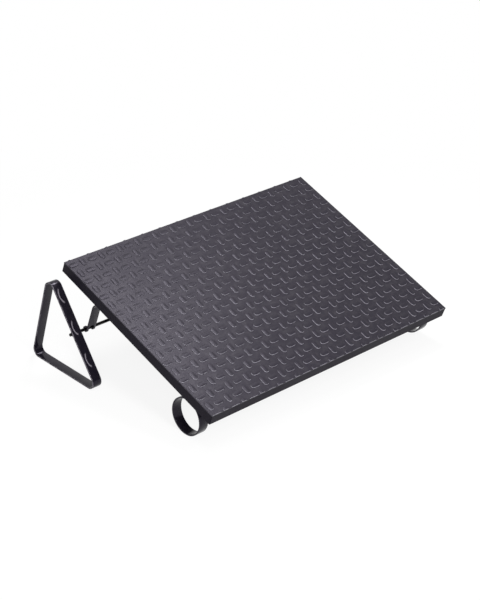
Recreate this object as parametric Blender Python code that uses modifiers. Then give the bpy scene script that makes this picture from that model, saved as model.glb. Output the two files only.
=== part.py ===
"""Tilting footrest.

A studded board stands on two hoop feet near its front edge.  At the rear two hangers under the board
end in rolled eyes round a cross rod.  The rod is welded inside two triangle legs of bent flat bar, so
rod and legs swing round together, and the side of the triangle that is put down sets the board's height.

Units are metres.  +X is the sitter's right, +Y runs from the front edge to the rear and +Z is up.  The
origin is on the floor, under the middle of the footrest's outline.
"""
import math

import bmesh
import bpy

# Driving dimensions: the board
BOARD_WIDTH = 0.508
BOARD_DEPTH = 0.356
PANEL_THICKNESS = 0.0159
BAND_THICKNESS = 0.001
BAND_CORNER_RADIUS = 0.0007

# Driving dimensions: the rubber mat on the board
MAT_BASE_THICKNESS = 0.0018
STUD_HEIGHT = 0.0010
STUD_LENGTH = 0.0165
STUD_BREADTH = 0.0085
STUD_DRAFT = 0.0006
STUD_PITCH_ACROSS = 0.0181
STUD_PITCH_ALONG = 0.0192
STUD_START = -0.0015

# Driving dimensions: the flat bar that feet, hangers and legs are bent from
BAR_WIDTH = 0.017
BAR_THICKNESS = 0.002

# Driving dimensions: the hoop feet
HOOP_DIAMETER = 0.061
HOOP_SETBACK = 0.0475
HOOP_INSET = 0.004

# Driving dimensions: the cross rod and the legs
ROD_DIAMETER = 0.005
ROD_INSET = 0.073
ROD_DROP = 0.062
ROD_OVERHANG = 0.002
ROD_END_CHAMFER = 0.0005
LEG_SIDE = 0.165
LEG_LONG_SIDE = 0.200
LEG_CORNER_RADIUS = 0.012
LEG_CLEARANCE = 0.006
WELD_RADIUS = 0.0015
WELD_LENGTH = 0.014

# Driving dimensions: the hangers
HANGER_INSET = 0.004
HANGER_FLANGE = 0.040
HANGER_BEND_RADIUS = 0.013
EYE_WRAP = math.radians(290)
NOTCH_WIDTH = 0.010
NOTCH_HEIGHT = 0.009

# Driving dimensions: the screws
HOOP_SCREW_DIAMETER = 0.0035
HOOP_SCREW_HEAD = 0.0070
HOOP_SCREW_LENGTH = 0.014
HOOP_SCREW_PITCH = 0.0085
HANGER_SCREW_DIAMETER = 0.004
HANGER_SCREW_HEAD = 0.008
HANGER_SCREW_LENGTH = 0.014
HANGER_SCREW_EDGE = 0.010
SCREW_HEAD_HEIGHT_SHARE = 0.34
SCREW_TIP_SHARE = 0.30

# Clearances between pieces that touch
GAP = 0.0003
CUT_MARGIN = 0.002

# How finely round shapes are divided
HOOP_STEPS = 48
BEND_STEPS = 8
EYE_STEPS = 18
ROD_STEPS = 24
SCREW_STEPS = 10
HEAD_STEPS = 3
HOLE_STEPS = 12

# Sizes that follow from the driving dimensions
HOOP_RADIUS = HOOP_DIAMETER / 2
ROD_RADIUS = ROD_DIAMETER / 2
MAT_UNDERSIDE = PANEL_THICKNESS + GAP
MAT_THICKNESS = MAT_BASE_THICKNESS + STUD_HEIGHT
HOOP_DROP = HOOP_RADIUS + GAP
ROD_SETBACK = BOARD_DEPTH - ROD_INSET
HOOP_X = BOARD_WIDTH / 2 - HOOP_INSET - BAR_WIDTH / 2
HANGER_X = BOARD_WIDTH / 2 - HANGER_INSET - BAR_WIDTH / 2
LEG_X = BOARD_WIDTH / 2 + LEG_CLEARANCE + BAR_WIDTH / 2
ROD_LENGTH = 2 * (LEG_X + BAR_WIDTH / 2 + ROD_OVERHANG)
EYE_RADIUS = ROD_RADIUS + GAP + BAR_THICKNESS / 2
ROD_TO_BAR_FACE = ROD_RADIUS + GAP
ROD_TO_LEG_LINE = ROD_TO_BAR_FACE + BAR_THICKNESS
FLANGE_CENTRE_LINE = -(GAP + BAR_THICKNESS / 2)
BEND_CENTRE_RADIUS = HANGER_BEND_RADIUS + BAR_THICKNESS / 2
STRAP_SETBACK = ROD_SETBACK - EYE_RADIUS

# The legs stand on one of their two equal sides, with the long side to the front.
# LEG_BASE_ANGLE is at either end of the long side.
LEG_BASE_ANGLE = math.acos(LEG_LONG_SIDE / (2 * LEG_SIDE))
ROD_HEIGHT = LEG_LONG_SIDE / 2 * math.sin(LEG_BASE_ANGLE) - ROD_TO_LEG_LINE * math.cos(LEG_BASE_ANGLE)
ROD_FROM_FRONT_CORNER = (LEG_LONG_SIDE / 2 * math.cos(LEG_BASE_ANGLE)
                         + ROD_TO_LEG_LINE * math.sin(LEG_BASE_ANGLE))

# The board leans so that hoops and legs both reach the floor
SPAN_ALONG = ROD_SETBACK - HOOP_SETBACK
SPAN_DOWN = ROD_DROP - HOOP_DROP
TILT = (math.atan2(SPAN_DOWN, SPAN_ALONG)
        + math.asin((ROD_HEIGHT - HOOP_RADIUS) / math.hypot(SPAN_ALONG, SPAN_DOWN)))
FRONT_EDGE_HEIGHT = HOOP_RADIUS + HOOP_DROP * math.cos(TILT) - HOOP_SETBACK * math.sin(TILT)
ROD_REACH = ROD_SETBACK * math.cos(TILT) + ROD_DROP * math.sin(TILT)

SIDES = {"left": -1, "right": 1}
UPSIDE_DOWN = (math.pi, 0, 0)


def clear_scene():
    """Remove every object that a new file opens with."""
    for item in list(bpy.data.objects):
        bpy.data.objects.remove(item, do_unlink=True)


def new_collection(name):
    """Make a collection and show it in the scene."""
    group = bpy.data.collections.new(name)
    bpy.context.scene.collection.children.link(group)
    return group


def new_frame(name, parent=None, location=(0, 0, 0), tilt=0.0):
    """Make an empty that carries pieces, turned about the X axis."""
    frame = bpy.data.objects.new(name, None)
    frame.empty_display_size = 0.05
    frame.location = location
    frame.rotation_euler = (tilt, 0, 0)
    frame.parent = parent
    PARTS.objects.link(frame)
    return frame


def paint(name, colour, roughness, metallic):
    """Make a plain surface finish."""
    finish = bpy.data.materials.new(name)
    finish.use_nodes = True
    shader = finish.node_tree.nodes["Principled BSDF"]
    shader.inputs["Base Color"].default_value = (*colour, 1.0)
    shader.inputs["Roughness"].default_value = roughness
    shader.inputs["Metallic"].default_value = metallic
    finish.diffuse_color = (*colour, 1.0)
    return finish


def black_laminate(name):
    """Black melamine and edging of the board."""
    return paint(name, (0.021, 0.019, 0.024), 0.42, 0.0)


def grey_rubber(name):
    """Dark grey moulded rubber."""
    return paint(name, (0.078, 0.074, 0.088), 0.55, 0.0)


def black_enamel(name):
    """Glossy black paint on bent steel bar."""
    return paint(name, (0.016, 0.015, 0.018), 0.25, 0.0)


def black_steel(name):
    """Blackened steel of rod and screws."""
    return paint(name, (0.020, 0.020, 0.022), 0.35, 1.0)


def place(name, shape, parent, location=(0, 0, 0), turn=(0, 0, 0), finish=None):
    """Turn a bmesh into an object; without a finish it is a cutter."""
    mesh = bpy.data.meshes.new(name)
    shape.to_mesh(mesh)
    shape.free()
    piece = bpy.data.objects.new(name, mesh)
    piece.parent = parent
    piece.location = location
    piece.rotation_euler = turn
    if finish:
        mesh.materials.append(finish(name))
        PARTS.objects.link(piece)
    else:
        piece.display_type = "WIRE"
        piece.hide_render = True
        CUTTERS.objects.link(piece)
    return piece


def combine(piece, other, operation):
    """Cut another object out of a piece, or join it on."""
    step = piece.modifiers.new(f"{operation.lower()} {other.name}", "BOOLEAN")
    step.operation = operation
    step.solver = "EXACT"
    step.object = other


def smooth_round(piece, angle=math.radians(35)):
    """Shade a round piece smooth, with its real edges kept sharp."""
    piece.data.shade_smooth()
    piece.data.set_sharp_from_angle(angle=angle)


def box(low, high):
    """A box between two corners."""
    shape = bmesh.new()
    bmesh.ops.create_cube(shape, size=1.0)
    size = [top - bottom for bottom, top in zip(low, high)]
    middle = [(top + bottom) / 2 for bottom, top in zip(low, high)]
    bmesh.ops.scale(shape, vec=size, verts=shape.verts)
    bmesh.ops.translate(shape, vec=middle, verts=shape.verts)
    return shape


def upright_cylinder(radius, bottom, top, steps):
    """A solid cylinder along Z."""
    shape = bmesh.new()
    bmesh.ops.create_cone(shape, cap_ends=True, segments=steps, radius1=radius, radius2=radius,
                          depth=top - bottom)
    bmesh.ops.translate(shape, vec=(0, 0, (top + bottom) / 2), verts=shape.verts)
    return shape


def arc(centre, radius, start, end, steps):
    """Points along an arc in a side view; angles run from +Y towards +Z."""
    turns = [start + (end - start) * step / steps for step in range(steps + 1)]
    return [(centre[0] + radius * math.cos(turn), centre[1] + radius * math.sin(turn)) for turn in turns]


def rounded_triangle(corners, inset, radius):
    """Side view of a triangle, drawn in from its corners, with each corner as an arc.

    The corners run anticlockwise in the view with +Y to the right and +Z up.
    """
    outline = []
    for index, (along, up) in enumerate(corners):
        before = corners[index - 1]
        after = corners[(index + 1) % len(corners)]
        arriving = math.atan2(up - before[1], along - before[0])
        leaving = math.atan2(after[1] - up, after[0] - along)
        turn = (leaving - arriving) % (2 * math.pi)
        inner_half = (math.pi - turn) / 2
        towards_middle = leaving + inner_half
        reach = (inset + radius) / math.sin(inner_half)
        centre = (along + reach * math.cos(towards_middle), up + reach * math.sin(towards_middle))
        start = arriving - math.pi / 2
        outline += arc(centre, radius, start, start + turn, BEND_STEPS)
    return outline


def bent_bar(name, path, closed, parent, location=(0, 0, 0), turn=(0, 0, 0)):
    """Flat bar bent along a side-view path, which is the middle of its thickness."""
    shape = bmesh.new()
    rail = [shape.verts.new((-BAR_WIDTH / 2, along, up)) for along, up in path]
    edges = [shape.edges.new(pair) for pair in zip(rail, rail[1:])]
    if closed:
        edges.append(shape.edges.new((rail[-1], rail[0])))
    swept = bmesh.ops.extrude_edge_only(shape, edges=edges)["geom"]
    far_rail = [item for item in swept if isinstance(item, bmesh.types.BMVert)]
    bmesh.ops.translate(shape, vec=(BAR_WIDTH, 0, 0), verts=far_rail)
    bmesh.ops.recalc_face_normals(shape, faces=shape.faces)
    piece = place(name, shape, parent, location, turn, black_enamel)
    wall = piece.modifiers.new("bar thickness", "SOLIDIFY")
    wall.thickness = BAR_THICKNESS
    wall.offset = 0.0
    wall.use_even_offset = True
    smooth_round(piece)
    return piece


def screw(name, diameter, head, length, parent, location):
    """A domed screw, driven upwards, with its head's underside at location."""
    tip = diameter * SCREW_TIP_SHARE
    dome = arc((0, 0), 1.0, math.pi / 2, 0, HEAD_STEPS)
    profile = [(out * head / 2, up * head * SCREW_HEAD_HEIGHT_SHARE) for out, up in dome]
    profile += [(diameter / 2, 0), (diameter / 2, -length + diameter), (tip / 2, -length), (0, -length)]
    shape = bmesh.new()
    points = [shape.verts.new((out, 0, up)) for out, up in profile]
    for pair in zip(points, points[1:]):
        shape.edges.new(pair)
    piece = place(name, shape, parent, location, UPSIDE_DOWN, black_steel)
    lathe = piece.modifiers.new("turned", "SCREW")
    lathe.steps = SCREW_STEPS
    lathe.render_steps = SCREW_STEPS
    lathe.use_merge_vertices = True
    lathe.merge_threshold = 0.00001
    return piece


def screwed_down(name, bracket, places, diameter, head, length):
    """Screws up through a bracket into the panel, with a clear hole for each in both."""
    for label, location in places.items():
        screw(f"{name}_screw_{label}", diameter, head, length, BOARD, location)
        drill = upright_cylinder(diameter / 2 + GAP, -CUT_MARGIN, length + GAP, HOLE_STEPS)
        hole = place(f"{name}_hole_{label}", drill, BOARD, location)
        combine(bracket, hole, "DIFFERENCE")
        DRILLS.objects.link(hole)


def board_panel():
    """The board's core, inside its edging, with the holes of all its screws cut in one step."""
    edge = BAND_THICKNESS + GAP
    half_width = BOARD_WIDTH / 2 - edge
    core = box((-half_width, edge, 0), (half_width, BOARD_DEPTH - edge, PANEL_THICKNESS))
    panel = place("board_panel", core, BOARD, finish=black_laminate)
    step = panel.modifiers.new("screw holes", "BOOLEAN")
    step.operation = "DIFFERENCE"
    step.solver = "EXACT"
    step.operand_type = "COLLECTION"
    step.collection = DRILLS


def edge_bands():
    """Edging strips: the side ones run the whole depth, the others fit between them."""
    inner = BOARD_WIDTH / 2 - BAND_THICKNESS
    for name, side in SIDES.items():
        low_x, high_x = sorted((side * inner, side * BOARD_WIDTH / 2))
        band = box((low_x, 0, 0), (high_x, BOARD_DEPTH, PANEL_THICKNESS))
        outer = [edge for edge in band.edges
                 if all(abs(abs(vert.co.x) - BOARD_WIDTH / 2) < GAP for vert in edge.verts)
                 and abs(edge.verts[0].co.z - edge.verts[1].co.z) > GAP]
        bmesh.ops.bevel(band, geom=outer, offset=BAND_CORNER_RADIUS, segments=2, affect="EDGES")
        place(f"edge_band_{name}", band, BOARD, finish=black_laminate)
    between = inner - GAP
    for name, start in (("front", 0), ("rear", BOARD_DEPTH - BAND_THICKNESS)):
        band = box((-between, start, 0), (between, start + BAND_THICKNESS, PANEL_THICKNESS))
        place(f"edge_band_{name}", band, BOARD, finish=black_laminate)


def tread_mat():
    """Rubber mat that covers the board to its edges, with oblong studs laid in turn along and across.

    The studs fill whole columns across the board.  STUD_START is the middle of the first row, from the
    front edge; the front and rear edges cut through their rows.
    """
    columns = round(BOARD_WIDTH / STUD_PITCH_ACROSS)
    rows = math.ceil((BOARD_DEPTH - STUD_START) / STUD_PITCH_ALONG + 0.5)
    pitch = BOARD_WIDTH / columns
    half_length = (min(STUD_LENGTH, pitch, STUD_PITCH_ALONG) - GAP) / 2
    half_breadth = (STUD_BREADTH - GAP) / 2
    sheet = bmesh.new()
    bmesh.ops.create_grid(sheet, x_segments=columns, y_segments=rows, size=0.5)
    bmesh.ops.scale(sheet, vec=(BOARD_WIDTH, rows * STUD_PITCH_ALONG, 1), verts=sheet.verts)
    bmesh.ops.translate(sheet, vec=(0, STUD_START + (rows - 1) / 2 * STUD_PITCH_ALONG, MAT_BASE_THICKNESS),
                        verts=sheet.verts)
    cells = sheet.faces[:]
    bmesh.ops.inset_individual(sheet, faces=cells, thickness=GAP)
    for cell in cells:
        middle = cell.calc_center_median()
        column = round((middle.x + BOARD_WIDTH / 2) / pitch - 0.5)
        row = round((middle.y - STUD_START) / STUD_PITCH_ALONG)
        half_sizes = (half_breadth, half_length) if (column + row) % 2 else (half_length, half_breadth)
        for corner in cell.verts:
            for axis, half in enumerate(half_sizes):
                corner.co[axis] = middle[axis] + math.copysign(half, corner.co[axis] - middle[axis])
    for top in bmesh.ops.extrude_discrete_faces(sheet, faces=cells)["faces"]:
        middle = top.calc_center_median()
        for corner in top.verts:
            for axis in (0, 1):
                corner.co[axis] -= math.copysign(STUD_DRAFT, corner.co[axis] - middle[axis])
            corner.co.z += STUD_HEIGHT
    for edge, outward in ((0, -1), (BOARD_DEPTH, 1)):
        everything = sheet.verts[:] + sheet.edges[:] + sheet.faces[:]
        bmesh.ops.bisect_plane(sheet, geom=everything, plane_co=(0, edge, 0),
                               plane_no=(0, outward, 0), clear_outer=True)
    rim = [edge for edge in sheet.edges if edge.is_boundary]
    swept = bmesh.ops.extrude_edge_only(sheet, edges=rim)["geom"]
    for item in swept:
        if isinstance(item, bmesh.types.BMVert):
            item.co.z = 0
    bmesh.ops.holes_fill(sheet, edges=[item for item in swept if isinstance(item, bmesh.types.BMEdge)])
    bmesh.ops.recalc_face_normals(sheet, faces=sheet.faces)
    place("tread_mat", sheet, BOARD, (0, 0, MAT_UNDERSIDE), finish=grey_rubber)


def hoop_foot(name, side):
    """A bent hoop under the front of the board, held by two screws driven from inside it."""
    middle_radius = HOOP_RADIUS - BAR_THICKNESS / 2
    ring = arc((0, 0), middle_radius, -math.pi / 2, 3 * math.pi / 2, HOOP_STEPS)[:-1]
    centre = (side * HOOP_X, HOOP_SETBACK, -HOOP_DROP)
    hoop = bent_bar(f"{name}_hoop_foot", ring, True, BOARD, centre, (-TILT, 0, 0))
    inner_radius = HOOP_RADIUS - BAR_THICKNESS
    head_sag = inner_radius - math.sqrt(inner_radius ** 2 - (HOOP_SCREW_HEAD / 2) ** 2)
    seat = -(GAP + BAR_THICKNESS + head_sag + GAP)
    places = {label: (side * HOOP_X + way * HOOP_SCREW_PITCH / 2, HOOP_SETBACK, seat)
              for label, way in (("outer", side), ("inner", -side))}
    screwed_down(f"{name}_hoop", hoop, places, HOOP_SCREW_DIAMETER, HOOP_SCREW_HEAD, HOOP_SCREW_LENGTH)


def hanger_path():
    """Middle line of a hanger: flange, bend, strap and the eye rolled round the rod."""
    front = STRAP_SETBACK - BEND_CENTRE_RADIUS - HANGER_FLANGE
    bend_centre = (STRAP_SETBACK - BEND_CENTRE_RADIUS, FLANGE_CENTRE_LINE - BEND_CENTRE_RADIUS)
    bend = arc(bend_centre, BEND_CENTRE_RADIUS, math.pi / 2, 0, BEND_STEPS)
    eye = arc((ROD_SETBACK, -ROD_DROP), EYE_RADIUS, math.pi, math.pi + EYE_WRAP, EYE_STEPS)
    return [(front, FLANGE_CENTRE_LINE)] + bend + eye


def notch_cutter(name, x):
    """Round topped slot that leaves two knuckles at the eye."""
    top = -ROD_DROP + NOTCH_HEIGHT
    bottom = -ROD_DROP - EYE_RADIUS - BAR_THICKNESS
    half = NOTCH_WIDTH / 2
    outline = [(-half, bottom)]
    outline += [(half * math.cos(turn), top - half + half * math.sin(turn))
                for turn in [math.pi * (1 - step / BEND_STEPS) for step in range(BEND_STEPS + 1)]]
    outline += [(half, bottom)]
    slot = bmesh.new()
    front = [slot.verts.new((across, STRAP_SETBACK - BAR_THICKNESS, up)) for across, up in outline]
    face = slot.faces.new(front)
    swept = bmesh.ops.extrude_face_region(slot, geom=[face])["geom"]
    back = [item for item in swept if isinstance(item, bmesh.types.BMVert)]
    depth = 2 * (EYE_RADIUS + BAR_THICKNESS)
    bmesh.ops.translate(slot, vec=(0, depth, 0), verts=back)
    bmesh.ops.recalc_face_normals(slot, faces=slot.faces)
    return place(name, slot, BOARD, (x, 0, 0))


def hanger(name, side):
    """A hanger under the rear of the board, held by two screws through its flange."""
    x = side * HANGER_X
    bracket = bent_bar(f"{name}_hanger", hanger_path(), False, BOARD, (x, 0, 0))
    combine(bracket, notch_cutter(f"{name}_notch_cutter", x), "DIFFERENCE")
    flange_end = STRAP_SETBACK - BEND_CENTRE_RADIUS
    places = {label: (x, along, -(GAP + BAR_THICKNESS + GAP))
              for label, along in (("front", flange_end - HANGER_FLANGE + HANGER_SCREW_EDGE),
                                   ("rear", flange_end - HANGER_SCREW_EDGE))}
    screwed_down(f"{name}_hanger", bracket, places, HANGER_SCREW_DIAMETER, HANGER_SCREW_HEAD,
                 HANGER_SCREW_LENGTH)


def cross_rod():
    """The round rod that the legs are welded to and the board hangs from."""
    rod = upright_cylinder(ROD_RADIUS, -ROD_LENGTH / 2, ROD_LENGTH / 2, ROD_STEPS)
    rims = [edge for edge in rod.edges
            if abs(edge.verts[0].co.z - edge.verts[1].co.z) < GAP]
    bmesh.ops.bevel(rod, geom=rims, offset=ROD_END_CHAMFER, segments=1, affect="EDGES")
    piece = place("cross_rod", rod, LEGS, turn=(0, math.pi / 2, 0), finish=black_steel)
    smooth_round(piece)


def triangle_leg(name, side):
    """Flat bar bent to a triangle, with the weld beads that hold the rod inside its long side."""
    front = (-ROD_FROM_FRONT_CORNER, -ROD_HEIGHT)
    rear = (front[0] + LEG_SIDE, front[1])
    top = (front[0] + LEG_LONG_SIDE * math.cos(LEG_BASE_ANGLE),
           front[1] + LEG_LONG_SIDE * math.sin(LEG_BASE_ANGLE))
    half_bar = BAR_THICKNESS / 2
    path = rounded_triangle([front, rear, top], half_bar, LEG_CORNER_RADIUS - half_bar)
    x = side * LEG_X
    leg = bent_bar(f"{name}_triangle_leg", path, True, LEGS, (x, 0, 0))
    # Each bead lies in the corner between rod and bar, sunk halfway into the bar
    bead_lift = ROD_TO_BAR_FACE - WELD_RADIUS / 2
    bead_out = math.sqrt((ROD_RADIUS + GAP + WELD_RADIUS) ** 2 - bead_lift ** 2)
    to_bar = LEG_BASE_ANGLE + math.pi / 2
    for bead_name, along in (("lower", -bead_out), ("upper", bead_out)):
        centre = (x,
                  bead_lift * math.cos(to_bar) + along * math.cos(LEG_BASE_ANGLE),
                  bead_lift * math.sin(to_bar) + along * math.sin(LEG_BASE_ANGLE))
        bead = place(f"{name}_{bead_name}_weld_cutter",
                     upright_cylinder(WELD_RADIUS, -WELD_LENGTH / 2, WELD_LENGTH / 2, HOLE_STEPS),
                     LEGS, centre, (0, math.pi / 2, 0))
        combine(leg, bead, "UNION")


def outline_box():
    """Lowest and highest corners of all the pieces, as built."""
    bpy.context.view_layer.update()
    graph = bpy.context.evaluated_depsgraph_get()
    points = []
    for piece in PARTS.objects:
        if piece.type == "MESH":
            built = piece.evaluated_get(graph)
            mesh = built.to_mesh()
            points += [built.matrix_world @ vert.co for vert in mesh.vertices]
            built.to_mesh_clear()
    low = [min(point[axis] for point in points) for axis in range(3)]
    high = [max(point[axis] for point in points) for axis in range(3)]
    return low, high


def centre_over_origin():
    """Stand the footrest on the floor with its outline centred on the origin."""
    low, high = outline_box()
    ORIGIN.location = [-(low[0] + high[0]) / 2, -(low[1] + high[1]) / 2, -low[2]]
    bpy.context.view_layer.update()
    axis = LEGS.matrix_world.translation
    size = [top - bottom for bottom, top in zip(low, high)]
    print("outline size (m):", [round(length, 5) for length in size])
    print("rod axis (m):", [round(value, 6) for value in axis])
    print("front edge (m):", [round(value, 6) for value in BOARD.matrix_world.translation])
    print("tilt (degrees):", round(math.degrees(TILT), 3))


clear_scene()
PARTS = new_collection("footrest")
CUTTERS = new_collection("footrest_cutters")
DRILLS = new_collection("footrest_drills")
ORIGIN = new_frame("footrest_origin")
BOARD = new_frame("board_frame", ORIGIN, (0, 0, FRONT_EDGE_HEIGHT), TILT)
LEGS = new_frame("leg_frame", ORIGIN, (0, ROD_REACH, ROD_HEIGHT))

board_panel()
edge_bands()
tread_mat()
for side_name, side_sign in SIDES.items():
    hoop_foot(side_name, side_sign)
    hanger(side_name, side_sign)
    triangle_leg(side_name, side_sign)
cross_rod()
centre_over_origin()
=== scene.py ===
"""Looks of a tilting footrest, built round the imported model.

A studded rubber mat lies on a black board.  Hoops, hangers and triangle legs are swept from flat bar
with rounded edges.  Edging strips, screws and weld beads are pieces of their own.

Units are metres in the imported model's frame: +X is the sitter's right, +Y runs from the front edge to
the rear and +Z is up.  In the tilted board's own frame the same three directions are called across,
along and up.
"""
from __future__ import annotations

import logging
import math
from dataclasses import dataclass, field, replace
from enum import Enum
from typing import Any, Iterable, Sequence, Union

import bmesh
import bpy
from mathutils import Matrix, Vector

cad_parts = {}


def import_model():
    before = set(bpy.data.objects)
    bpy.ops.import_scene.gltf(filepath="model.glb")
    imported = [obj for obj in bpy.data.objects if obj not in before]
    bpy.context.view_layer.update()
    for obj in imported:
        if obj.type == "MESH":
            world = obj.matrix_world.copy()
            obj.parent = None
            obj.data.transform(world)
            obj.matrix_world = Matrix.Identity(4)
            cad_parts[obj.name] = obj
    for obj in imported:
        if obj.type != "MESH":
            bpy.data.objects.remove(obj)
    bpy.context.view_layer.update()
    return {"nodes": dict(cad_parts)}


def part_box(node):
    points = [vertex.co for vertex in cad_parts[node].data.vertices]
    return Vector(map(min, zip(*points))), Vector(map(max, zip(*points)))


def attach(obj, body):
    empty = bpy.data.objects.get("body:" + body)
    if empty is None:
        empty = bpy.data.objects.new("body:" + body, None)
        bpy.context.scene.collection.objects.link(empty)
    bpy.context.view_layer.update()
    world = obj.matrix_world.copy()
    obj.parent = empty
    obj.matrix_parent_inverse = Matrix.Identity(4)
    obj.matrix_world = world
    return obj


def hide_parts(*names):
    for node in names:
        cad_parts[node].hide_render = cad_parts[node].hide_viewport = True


LOG = logging.getLogger("footrest")
MILLIMETRE = 0.001
FLUSH = 1e-6  # Two places nearer than this are one
CUT_SNAP = 1e-7  # A cut takes a vertex that lies this near to it
SAME_WAY = 0.999  # Cosine from which two directions count as one
SQUARE = 0.01  # Cosine up to which they count as square
BAR_CREASE = math.radians(50.0)

Colour = tuple[float, float, float]
Point = tuple[float, float]
Feed = Union[float, int, bool, str, tuple, Vector, bpy.types.NodeSocket, bpy.types.Material]


class Body(Enum):
    """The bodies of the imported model."""

    BOARD = "board"
    LEGS = "legs"


class Slot(Enum):
    """The record's material slots."""

    PANEL = "panel_black"
    EDGING = "edging_black"
    RUBBER = "mat_rubber"
    ENAMEL = "bar_enamel"
    STEEL = "steel_black"


class Side(Enum):
    """The two sides of the footrest; the value is the sign of X there."""

    LEFT = -1
    RIGHT = 1

    @property
    def label(self) -> str:
        """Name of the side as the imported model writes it."""
        return self.name.lower()


class Wiring:
    """Adds nodes to one tree and joins them."""

    def __init__(self, tree: bpy.types.NodeTree) -> None:
        """Work on a tree.

        Args:
            tree: The tree that gets the nodes.
        """
        self.tree = tree

    def add(self, kind: str, feeds: dict[Union[str, int], Feed] | None = None,
            **settings: Any) -> bpy.types.Node:
        """Add a node.

        Args:
            kind: The node's type name.
            feeds: A value or another node's output for each input, by name or index.
            **settings: Values of the node's own properties.

        Returns:
            The new node.
        """
        node = self.tree.nodes.new(kind)
        for key, value in settings.items():
            setattr(node, key, value)
        for key, feed in (feeds or {}).items():
            self.join(feed, node.inputs[key])
        return node

    def join(self, feed: Feed, socket: bpy.types.NodeSocket) -> None:
        """Link an output to an input, or set the input to a value.

        Args:
            feed: An output or a plain value.
            socket: The input that takes it.
        """
        if isinstance(feed, bpy.types.NodeSocket):
            self.tree.links.new(feed, socket)
        else:
            socket.default_value = feed

    def number(self, operation: str, *feeds: Feed, clamp: bool = False) -> bpy.types.NodeSocket:
        """Result of a maths node.

        Args:
            operation: The node's operation.
            *feeds: Its inputs in order.
            clamp: Whether the result is kept between 0 and 1.

        Returns:
            The node's output.
        """
        return self.add("ShaderNodeMath", dict(enumerate(feeds)), operation=operation,
                        use_clamp=clamp).outputs[0]

    def vector(self, operation: str, *feeds: Feed) -> bpy.types.NodeSocket:
        """Result of a vector maths node.

        Args:
            operation: The node's operation.
            *feeds: Its inputs in order.

        Returns:
            The node's output.
        """
        return self.add("ShaderNodeVectorMath", dict(enumerate(feeds)), operation=operation).outputs[0]

    def ramp(self, value: Feed, start: Feed, end: Feed, low: Feed = 0.0,
             high: Feed = 1.0) -> bpy.types.NodeSocket:
        """A value carried smoothly from one range to another.

        Args:
            value: What is carried.
            start: Value that gives low.
            end: Value that gives high.
            low: Result at the start.
            high: Result at the end.

        Returns:
            The node's output.
        """
        feeds = dict(enumerate((value, start, end, low, high)))
        return self.add("ShaderNodeMapRange", feeds, interpolation_type="SMOOTHSTEP").outputs[0]

    def blend(self, factor: Feed, first: Feed, second: Feed) -> bpy.types.NodeSocket:
        """Two colours mixed.

        Args:
            factor: Share of the second colour.
            first: Colour at 0.
            second: Colour at 1.

        Returns:
            The mixed colour.
        """
        return self.add("ShaderNodeMix", {0: factor, 6: first, 7: second}, data_type="RGBA").outputs[2]


def opaque(colour: Colour) -> tuple[float, float, float, float]:
    """A colour with full alpha."""
    return (*colour, 1.0)


class EffectGroup:
    """A shader node group that several finishes share."""

    def __init__(self, name: str, inputs: dict[str, float], outputs: Sequence[str]) -> None:
        """Make the empty group.

        Args:
            name: Name of the group.
            inputs: Name and starting value of each input.
            outputs: Names of the outputs.
        """
        self.tree = bpy.data.node_groups.new(name, "ShaderNodeTree")
        self.wiring = Wiring(self.tree)
        for title, value in inputs.items():
            socket = self.tree.interface.new_socket(title, in_out="INPUT", socket_type="NodeSocketFloat")
            socket.default_value = value
        for title in outputs:
            self.tree.interface.new_socket(title, in_out="OUTPUT", socket_type="NodeSocketFloat")
        self.inlet = self.tree.nodes.new("NodeGroupInput").outputs
        self.outlet = self.tree.nodes.new("NodeGroupOutput").inputs

    def place(self, wiring: Wiring, **values: Feed) -> bpy.types.NodeOutputs:
        """Put the group in a material.

        Args:
            wiring: Wiring of the material's tree.
            **values: Inputs that differ from the starting values, with _ for a space.

        Returns:
            The group node's outputs.
        """
        feeds = {title.replace("_", " ").capitalize(): value for title, value in values.items()}
        return wiring.add("ShaderNodeGroup", feeds, node_tree=self.tree).outputs


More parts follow.
